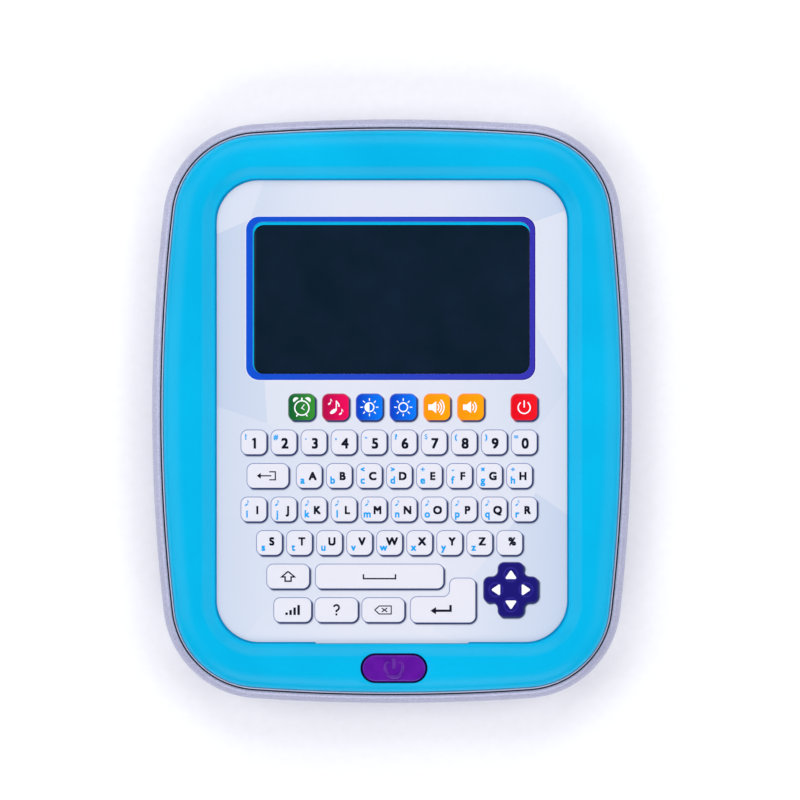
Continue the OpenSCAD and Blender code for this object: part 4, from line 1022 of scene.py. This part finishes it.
def windowPrint():
    # blue frame round the window, dark at its rim, with a thin white line outside
    p, k = printing, keypad
    top, foot = p["frameTop"], p["frameFoot"]
    pale, width = plainInk(inks["pale"]), p["frame"][2]
    rim, band = slantInk("0050C8", "241A88", 0, width), slantInk("004CC8", "332EA8", 0, width)
    rings, cover = [], []
    for grow, height, ink in ((0.3, foot, pale), (0.25, 0.004, pale), (0.02, 0.01, pale), (0.0, top, rim),
                              (-0.35, top, rim), (-0.5, top, band)):
        ring = roundRectangle(p["frame"], grow, 12)
        rings.append(atHeight(ring, k["top"] + height))
        cover += [ink(q) for q in ring]
    ring = roundRectangle(p["frameInner"], 0, 12)
    rings += [atHeight(ring, k["top"] + height) for height in (top, foot)]
    verts, faces = loft(rings, False)
    return verts, faces, cover + 2 * [band(q) for q in ring]


def inkPatch(shape, code, level=0):
    # a printed shape on the top of a key; a higher level lies over a lower one
    p, z = printing, keypad["keyTop"]
    verts, faces = prism(shape, z - p["sink"], z + p["lift"] + level * p["level"])
    return verts, faces, [linear(code)] * len(verts)


def ringPatch(x, y, radius, line, code):
    top = keypad["keyTop"] + printing["lift"]
    low = top - printing["ringSink"]
    rings = [atHeight(disc(x, y, radius + side * line / 2, 32), z)
             for side, z in ((-1, low), (1, low), (1, top), (-1, top))]
    verts, faces = loft(rings, False)
    return verts, faces, [linear(code)] * len(verts)


def disc(x, y, radius, steps=24):
    return arcPath(x, y, radius, 0, 360, steps)[:-1]


def drawSign(x, y, sign, code, scale=1.0):
    # a sign lists the width of each line, 0 for a filled shape, with its level and its points in mm
    parts = []
    for line, level, points in sign:
        plan = path(x, y, [(scale * px, scale * py) for px, py in points])
        parts.append(inkPatch(ribbon(plan, line * scale) if line else plan, code, level))
    return parts


lettering = bpy.data.curves.new("lettering", "FONT")
lettering.extrude = printing["lift"]


def letter(body, x, y, height, weight, code):
    # height is that of a capital, x and y its middle, and weight is added on each side of its lines
    lettering.body = body
    lettering.size = (height - 2 * weight) / printing["capital"]
    glyph = bpy.data.objects.new("glyph", lettering)
    bpy.context.scene.collection.objects.link(glyph)
    bpy.context.view_layer.update()
    plain = bpy.data.meshes.new_from_object(glyph.evaluated_get(bpy.context.evaluated_depsgraph_get()))
    bpy.data.objects.remove(glyph)
    merge = bmesh.new()
    merge.from_mesh(plain)
    bmesh.ops.remove_doubles(merge, verts=merge.verts, dist=1e-5)
    verts = [v.co.copy() for v in merge.verts]
    faces = [[v.index for v in face.verts] for face in merge.faces]
    merge.free()
    for side in (Vector((weight, 0, 0)), Vector((0, weight, 0))):
        piece = makePiece("glyph", ([v + side for v in verts], faces))
        add(piece, ([v - side for v in verts], faces))
        verts = [v.co / mm for v in piece.data.vertices]
        faces = [tuple(face.vertices) for face in piece.data.polygons]
        bpy.data.objects.remove(piece)
    xs = [v.x for v in verts]
    shift = x - (min(xs) + max(xs)) / 2
    low = y - height / 2 + weight
    verts = [(v.x + shift, v.y + low, keypad["keyTop"] + v.z) for v in verts]
    return verts, faces, [linear(code)] * len(verts)


letterKinds = {  # mm: height and added weight, and the ink
    "digit": (4.5, 0.2, inks["legend"]), "capital": (3.5, 0.2, inks["legend"]),
    "small": (3.2, 0.15, inks["second"]), "mark": (2.4, 0.15, inks["second"]),
}
legends = [  # for each row of keys the kind, the place from the key's middle in mm and the signs
    (("digit", 0.4, -0.3, "1234567890"), ("mark", -3.2, 2.2, "!#.,-?$()=")),
    (("capital", 1.4, 0, "ABCDEFGH"), ("small", -2.6, -1.6, "abcdefgh"), ("mark", -2.6, 2.6, "  <>+-×÷")),
    (("capital", 1.4, -0.2, "IJKLMNOPQR"), ("small", -2.7, -1.7, "ijklmnopqr")),
    (("capital", 1.0, 0.7, "STUVWXYZ%"), ("small", -2.4, -1.6, "stuvwxyz ")),
]


def rowLegends(row):
    first, count, line = keypad["letterRows"][row]
    parts = []
    for i in range(count):
        for kind, right, up, texts in legends[row]:
            if texts[i] != " ":
                x = first + keypad["pitch"] * i + right
                parts.append(letter(texts[i], x, rowY[line] + up, *letterKinds[kind]))
    return parts


def eighthNote(x, y, scale, code):
    head = [(0.95 * q.x + 0.25 * q.y, 0.3 * q.x + 0.72 * q.y - 1) for q in disc(0, 0, 1.0)]
    return drawSign(x, y, [(0, 0, head), (0.32, 1, [(0.85, -0.8), (0.85, 2.2)]),
                           (0.4, 2, [(0.85, 2.0), (1.5, 1.2), (1.7, 0.4)])], code, scale)


def keyLegends():
    parts = [part for row in range(4) for part in rowLegends(row)]
    # the thin digit 1 gets a bolder flag, and the keys I to R get notes
    parts += drawSign(*letterKeys[0], [(0.7, 2, ((-0.6, 0.9), (0.5, 1.6)))], inks["legend"])
    for x, y in letterKeys[18:28]:
        parts += eighthNote(x - 3.0, y + 2.4, 0.62, inks["second"])
    return parts


wideSigns = [  # plain signs where words would stand, in the order of the wide keys
    [(0.5, 0, ((0.6, 1.6), (3.0, 1.6), (3.0, -1.6), (0.6, -1.6))), (0.5, 1, ((-3.2, 0), (1.4, 0))),
     (0, 2, ((-4.4, 0), (-2.8, -1.2), (-2.8, 1.2)))],
    [(0.6, 0, ((0, 2.0), (2.6, -0.2), (1.2, -0.2), (1.2, -1.9), (-1.2, -1.9), (-1.2, -0.2), (-2.6, -0.2),
               (0, 2.0)))],
    [(0.6, 0, ((-6.4, 0.9), (-6.4, -0.9), (6.4, -0.9), (6.4, 0.9)))],
    [(0, 0, rectangle(-2.4 + 1.6 * i, -1.5 + 0.5 * i, 1.0, 1.0 + i)) for i in range(4)],
    [(0.75, 0, arcPath(0, 0.95, 1.05, 165, -55, 14) + path(0, 0, ((0, -0.35), (0, -0.9)))),
     (0, 0, rectangle(0, -1.8, 0.8, 0.8))],
    [(0.45, 0, ((-3.4, 0), (-1.6, 1.6), (3.2, 1.6), (3.2, -1.6), (-1.6, -1.6), (-3.4, 0))),
     (0.45, 0, ((-0.6, -0.8), (1.6, 0.8))), (0.45, 1, ((-0.6, 0.8), (1.6, -0.8)))],
]
enterX, enterDrop = 19.8, 0.3  # mm, the enter sign's place in the last row
enterSign = [(0.95, 0, ((-2.6, 0), (3.6, 0), (3.6, 2.3))), (0, 1, ((-4.4, 0), (-2.2, -1.5), (-2.2, 1.5)))]


def wideLegends():
    parts = []
    for (x, row, width), sign in zip(keypad["wideKeys"], wideSigns):
        parts += drawSign(x, rowY[row], sign, inks["legend"])
    return parts + drawSign(enterX, rowY[-1] - enterDrop, enterSign, inks["legend"])


def sunIcon(x, y, filled):
    white = inks["white"]
    rays = [direction(math.pi / 4 * i) for i in range(8)]
    sign = [(0.42, 0, (2.55 * ray, 3.6 * ray)) for ray in rays]
    if filled:
        sign.append((0, 1, arcPath(0, 0, 1.6, 90, 270)))
    return [ringPatch(x, y, 1.75, printing["iconLine"], white)] + drawSign(x, y, sign, white)


def speakerIcon(x, y, waves):
    left = x - 1.4 - 0.4 * waves  # more waves push the horn to the left
    sign = [(0, 0, ((-0.9, -1.1), (0.6, -1.1), (2.3, -2.4), (2.3, 2.4), (0.6, 1.1), (-0.9, 1.1)))]
    sign += [(printing["iconLine"], 0, arcPath(1.4, 0, 1.9 + 1.05 * i, -40 - 4 * i, 40 + 4 * i))
             for i in range(waves)]
    return drawSign(left, y, sign, inks["white"])


def clockIcon(x, y):
    # a face with two hands, a button on top, and a bell and a leg on each side
    sign = [(0.35, 0, ((-0.2, -0.2), (1.0, 1.4))), (0.3, 1, ((-0.3, 0), (1.1, -0.7))),
            (0, 0, rectangle(0, 3.6, 0.6, 1.0))]
    for side in (-1, 1):
        tilt = Matrix.Rotation(-side * math.radians(38), 2)
        sign += [(0, 1, [Vector((side * 2.3, 3.05)) + tilt @ q for q in arcPath(0, 0, 1.25, 0, 180, 12)]),
                 (0.5, 1, ((side * 1.7, -2.6), (side * 2.2, -3.4)))]
    return [ringPatch(x, y, 2.85, printing["iconLine"], inks["white"])] + drawSign(x, y, sign, inks["white"])


def iconLegends():
    clock, notes, bright, dim, loud, soft, off = [key[0] for key in iconKeys]
    y, white = keypad["iconY"], inks["white"]
    parts = clockIcon(clock, y - 0.3)
    for right, up, scale in ((-0.9, -0.3, 1.35), (1.9, -2.0, 0.6), (-2.5, 2.0, 0.6)):
        parts += eighthNote(notes + right, y + up, scale, white)
    parts += sunIcon(bright, y, True) + sunIcon(dim, y, False)
    parts += speakerIcon(loud, y, 3) + speakerIcon(soft, y, 2)
    power = powerSymbol(off, y - 0.1, 2.4, printing["iconLine"])
    return parts + [inkPatch(shape, white, i) for i, shape in enumerate(power)]


def arrowSigns():
    p, z, parts = printing, keypad["keyTop"], []
    for turn in range(4):
        spin = Matrix.Rotation(math.pi / 2 * turn, 2)
        corners = path(arrowPad["x"], arrowPad["y"], [spin @ Vector(q) for q in p["arrow"]])
        verts, faces = prism(roundCorners(corners, p["arrowRadius"], 4)[0], z, z + p["arrowRise"])
        parts.append((verts, faces, [linear(inks["white"])] * len(verts)))
    return parts


prints = [windowPrint()] + keyLegends() + wideLegends() + iconLegends() + arrowSigns()
keep(makePrinted("keypad_printing", prints, printInk), "housing", "printed_film")
print("printing laid on:", len(prints), "shapes")

# Screws, all made from one kind of template
screws = {  # mm: the heights of the seat and the tip, the radii of shank and head, and the head's height
    "housing_screws": (back["wellTop"], 21.0, 1.3, 2.7, 2.0),
    "battery_door_screw": (3.2, 7.6, 1.25, 2.7, 1.7),
    "switch_board_screws": (13.0, 19.0, 1.0, 2.0, 1.3),
    "board_screws": (13.0, 18.4, 1.0, 2.0, 1.3),
    "speaker_screws": (5.2, 7.4, 1.0, 3.3, 1.3),
}
threadPitch = 0.9  # mm


def screwSolid(length, shank, head, headHeight):
    # the seat is at height 0, the head below it and the threaded shank above
    root, z = shank * 0.82, 0.6
    profile = [(head * 0.72, -headHeight), (head * 0.93, -headHeight * 0.72), (head, -headHeight * 0.3),
               (head, 0), (shank, 0), (shank, z)]
    while z < length - shank - threadPitch:
        profile += [(shank, z + 0.2), (root, z + 0.45), (root, z + 0.6), (shank, z + threadPitch)]
        z += threadPitch
    return revolve(profile + [(shank, z + 0.1), (0.2, length)], steps=24)


def placeScrews(name, places, body="housing", headsUp=False):
    seat, tip, shank, head, headHeight = screws[name]
    template = makePiece(name + "_template", screwSolid(tip - seat, shank, head, headHeight), [zinc])
    long, short = head * 1.15, head * 0.26
    for width, length in ((long, short), (short, long)):
        cut(template, box(0, 0, width, length, -headHeight - 1, -headHeight * 0.4))
    smooth(template, 30)
    if headsUp:
        template.data.transform(Matrix.Rotation(math.pi, 4, "X"))
    piece = placeAll(name + "_set", template, [(x, y, seat) for x, y in places], zinc, math.pi / 2, 3)
    bpy.data.objects.remove(template)
    smooth(piece, 30)
    keep(piece, body, "steel", name)


spots = {  # mm, and degrees round the loudspeaker
    "switchBoardX": (-20.8, 22.4), "boardX": (-61.8, 61.8), "boardY": (3.4, 79.0),
    "speakerRadius": 22.6, "speakerTurns": (150, 270, 30),
}
placeScrews("housing_screws", screwPlaces)
placeScrews("battery_door_screw", [(0, bay["screwY"])], "battery_door")
placeScrews("switch_board_screws", [(x, button["y"]) for x in spots["switchBoardX"]])
placeScrews("board_screws", [(x, y) for x in spots["boardX"] for y in spots["boardY"]])
placeScrews("speaker_screws", [speakerCentre + spots["speakerRadius"] * direction(math.radians(turn))
                               for turn in spots["speakerTurns"]], headsUp=True)
print("screws placed")

# Battery door
door = {  # mm
    "under": 1.2, "top": 2.8, "edge": 0.3, "corners": [3.0, 3.0, 3.0, 0.5, 0.8, 0.8, 0.5, 3.0],
    "ribGap": 4.0, "rib": 1.2, "ribLow": 2.7, "ribTop": 4.0,
    "recessRadius": 3.0, "recessTop": 3.2, "holeRadius": 1.5, "holeTop": 6.0, "mouth": 0.3,
    "bossRadius": 3.6, "bossLow": 2.0, "bossTop": 4.2,
    # width of a tab, its outer end, the thickness and place of its root, and its heights
    "tabWidth": 10.0, "tabEnd": -65.5, "root": 1.2, "rootLow": 2.5, "tabLow": 3.6, "tabTop": 5.0,
    "grooves": 5, "grooveStart": 4.0, "groovePitch": 2.4, "grooveDepth": 0.4, "grooveMouth": 0.75,
    "grooveFloor": 0.3, "grooveLength": 11.0, "grooveTaper": 1.5,
}


def doorPlate():
    d, y = door, bay
    half, tongue = y["doorWidth"] / 2, y["tongueWidth"] / 2
    corners = path(0, 0, ((-half, y["doorLow"]), (half, y["doorLow"]), (half, y["doorHigh"]),
                          (tongue, y["doorHigh"]), (tongue, y["tongueEnd"]), (-tongue, y["tongueEnd"]),
                          (-tongue, y["doorHigh"]), (-half, y["doorHigh"])))
    points, normals = roundCorners(corners, d["corners"], 6)
    edge, under = d["edge"], d["under"]
    section = ((edge, under), (edge * 0.3, under + edge * 0.3), (0, under + edge), (0, d["top"]))
    return loft([[(p.x - n.x * inset, p.y - n.y * inset, z) for p, n in zip(points, normals)]
                 for inset, z in section])


def buildDoor():
    d, y = door, bay
    low, under, screw, mouth = y["doorLow"], d["under"], (0, y["screwY"]), d["mouth"]
    piece = makePiece("battery_door_panel", doorPlate(), [pearl])
    add(piece, join([box(0, y["centreY"] + s * y["rowPitch"] / 2, y["width"] - d["ribGap"], d["rib"],
                         d["ribLow"], d["ribTop"]) for s in (-1, 1)]),
        revolve([(d["bossRadius"], d["bossLow"]), (d["bossRadius"], d["bossTop"])], screw))
    inner = low + d["root"]
    for x in (-y["tabX"], y["tabX"]):
        add(piece, box(x, low + d["root"] / 2, d["tabWidth"], d["root"], d["rootLow"], d["tabTop"]),
            box(x, (inner + d["tabEnd"]) / 2, d["tabWidth"], inner - d["tabEnd"], d["tabLow"], d["tabTop"]))
    radius, hole = d["recessRadius"], d["holeRadius"]
    cut(piece, revolve([(radius + mouth + 0.5, below), (radius + mouth, under), (radius, under + mouth),
                        (radius, d["recessTop"]), (hole, d["recessTop"]), (hole, d["holeTop"])], screw))
    for i in range(d["grooves"]):
        middle = y["doorHigh"] - d["grooveStart"] - i * d["groovePitch"]
        half = d["grooveLength"] - d["grooveTaper"] * i
        wide, narrow, floor = d["grooveMouth"], d["grooveFloor"], under + d["grooveDepth"]
        groove = ((middle - wide, under - 0.2), (middle + wide, under - 0.2), (middle + narrow, floor),
                  (middle - narrow, floor))
        cut(piece, loft([[(x, gy, gz) for gy, gz in groove] for x in (-half, half)]))
    smooth(piece, 30)
    return piece


keep(buildDoor(), "battery_door", "silver_abs", "battery_door")
print("battery door built")

# Springs behind the cells
spring = {  # mm
    "turns": 3.2, "wireRadius": 0.4, "start": 4.8, "end": 3.4, "height": 7.2, "x": 28.8, "z": 10.15,
}


def buildSpringTree():
    tree, given = startTree("coilSpring", [("Turns", "Float"), ("Wire", "Float"), ("Start", "Float"),
                                           ("End", "Float"), ("Height", "Float"), ("Material", "Material")])
    spiral = addNode(tree, "GeometryNodeCurveSpiral", {
        "Resolution": 32, "Rotations": given["Turns"], "Start Radius": given["Start"],
        "End Radius": given["End"], "Height": given["Height"]})
    wire = addNode(tree, "GeometryNodeCurvePrimitiveCircle", {"Resolution": 12, 4: given["Wire"]})
    tube = addNode(tree, "GeometryNodeCurveToMesh", {"Curve": spiral.outputs[0],
                                                     "Profile Curve": wire.outputs[0], "Fill Caps": True})
    endTree(tree, tube.outputs[0], given["Material"])
    return tree


def buildSprings():
    s, springs, springTree = spring, [], buildSpringTree()
    wire = s["wireRadius"] * mm
    for i in range(3):
        piece = makePiece("spring" if i else "battery_spring_coils", ([], []))
        runTree(piece, springTree, {"Turns": s["turns"], "Wire": wire, "Start": s["start"] * mm,
                                    "End": s["end"] * mm, "Height": s["height"] * mm - 2 * wire,
                                    "Material": nickel})
        side, y = 1 if i % 2 else -1, bay["centreY"] + (i - 1) * bay["rowPitch"]
        piece.data.transform(Matrix.Translation((side * s["x"] * mm, y * mm, s["z"] * mm))
                             @ Matrix.Rotation(-side * math.pi / 2, 4, "Y")
                             @ Matrix.Translation((0, 0, wire)))
        smooth(piece, 60)
        springs.append(piece)
    joinPieces(springs[0], springs[1:])
    return springs[0]


keep(buildSprings(), "housing", "spring_steel", "battery_springs")
print("springs built")

# Rubber feet, with two grooves round the middle of the tread
footProfile = [  # radius and height in mm
    (2.0, 0.15), (2.2, 0), (2.8, 0), (3.0, 0.15), (3.8, 0.15), (4.0, 0), (5.5, 0), (5.85, 0.12), (6.0, 0.42),
    (6.0, 2.0),
]
foot = makePiece("foot_template", revolve(footProfile, steps=48), [blackRubber])
feet = placeAll("rubber_foot_set", foot, [(x, y, 0) for x, y in footPlaces], blackRubber)
bpy.data.objects.remove(foot)
smooth(feet, 40)
keep(feet, "housing", "black_rubber", "rubber_feet")
print("feet placed")

# Display window
window = {  # mm
    "y": 44.6, "width": 110.0, "height": 59.4,
    # growth, corner radius and height, from the flange under the bezel up to the softened rim
    "section": ((3.0, 4.0, 18.4), (3.0, 4.0, 19.4), (0, 3.85, 19.4), (0, 3.85, 21.3), (-0.09, 3.85, 21.51),
                (-0.3, 3.85, 21.6)),
}


def buildWindow():
    w = window
    rings = [atHeight(roundRectangle((0, w["y"], w["width"] + 2 * grow, w["height"] + 2 * grow, radius)), z)
             for grow, radius, z in w["section"]]
    return makePiece("display_window", loft(rings), [acrylic], 30)


keep(buildWindow(), "housing", "tinted_acrylic", "display_lens")
print("display window built")

# Rubber return dome under the power button, which the stem flattens
dome = {  # mm, and the share of its height that stays when it is pressed
    "low": 14.2, "foot": 0.8, "footInner": 3.7, "footOuter": 5.1, "shoulder": 4.1, "plunger": 2.5,
    "cavity": 1.9, "height": 2.3, "under": 1.5, "edge": 0.15, "pressed": 0.47,
}


def buildDome():
    d = dome
    low, edge, outer, plunger = d["low"], d["edge"], d["footOuter"], d["plunger"]
    foot, crest = low + d["foot"], low + d["height"]
    wall = [(d["cavity"], low + d["under"]), (d["footInner"], low), (outer, low), (outer, foot - edge),
            (outer - edge, foot), (d["shoulder"], foot), (plunger, crest - edge), (plunger - edge, crest)]
    piece = makePiece("return_dome", revolve(wall, (button["x"], button["y"])), [silicone])
    smooth(piece, 28)
    return piece


returnDome = buildDome()
keep(returnDome, "housing", "grey_silicone", "button_dome")
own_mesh(returnDome)
print("return dome built")

# Inner pieces keep their CAD shape and get their real substance
dress(glass, "display_glass")
dress(whiteAbs, "display_holder")
dress(layeredRubber(), "contact_strips")
dress(board, "main_board", "switch_board")
dress(blackResin, "board_components", "chip_cover")
dress(creamNylon, "membrane_connector")
dress(sheet, "membrane_top_sheet", "membrane_spacer", "membrane_bottom_sheet")
dress(cellSleeve(1), "battery_1", "battery_3")
dress(cellSleeve(-1), "battery_2")
dress(nickel, "battery_contacts")
dress(blackFoam, "speaker_gasket")
dress(zinc, "speaker_frame", "speaker_magnet")
dress(pressedPaper, "speaker_cone")
dress(redPvc, "battery_lead_positive")
dress(blackPvc, "battery_lead_negative")
dress(palePvc, "switch_leads", "speaker_leads")
print("inner pieces dressed")

# Camera, lights and floor
view = {  # mm, then m: straight above, slightly off the tablet's middle
    "lens": 225, "clipEnd": 20, "place": (0.0032, 0.00448, 2.02),
}
camera = bpy.data.cameras.new("camera")
camera.lens = view["lens"]
camera.clip_end = view["clipEnd"]
cameraObject = bpy.data.objects.new("camera", camera)
cameraObject.location = view["place"]
bpy.context.scene.collection.objects.link(cameraObject)
bpy.context.scene.camera = cameraObject

softLights = {  # place, width and height in m and power in W; all four face the middle of the floor
    "topLight": ((0.0, 1.3, 1.0), 2.0, 1.0, 16), "leftLight": ((-1.25, 0.1, 1.0), 1.2, 1.6, 12),
    "rightLight": ((1.25, 0.1, 1.0), 1.2, 1.6, 10), "lowLight": ((0.0, -1.3, 0.95), 1.8, 0.8, 14),
}
for name, (place, width, height, power) in softLights.items():
    light = bpy.data.lights.new(name, "AREA")
    light.shape = "RECTANGLE"
    light.size, light.size_y = width, height
    light.energy = power
    lamp = bpy.data.objects.new(name, light)
    lamp.location = place
    lamp.rotation_euler = (-Vector(place)).to_track_quat("-Z", "Y").to_euler()
    bpy.context.scene.collection.objects.link(lamp)

room = {"colour": "CDD2F2", "strength": 0.22}
world = bpy.data.worlds.new("softRoom")
world.use_nodes = True
sky = world.node_tree.nodes["Background"].inputs
sky["Color"].default_value = linear(room["colour"])
sky["Strength"].default_value = room["strength"]
bpy.context.scene.world = world
bpy.context.scene.view_settings.view_transform = "Standard"

floorHalf = 3000  # mm
floorPlan = atHeight(rectangle(0, 0, 2 * floorHalf, 2 * floorHalf), 0)
floor = makePiece("floor", (floorPlan, [(0, 1, 2, 3)]),
                  [mouldedPlastic("paintedTable", "FAFAFA", "FFFFFF", 4, 0.02, 0.8)])
print("camera, lights and floor placed")
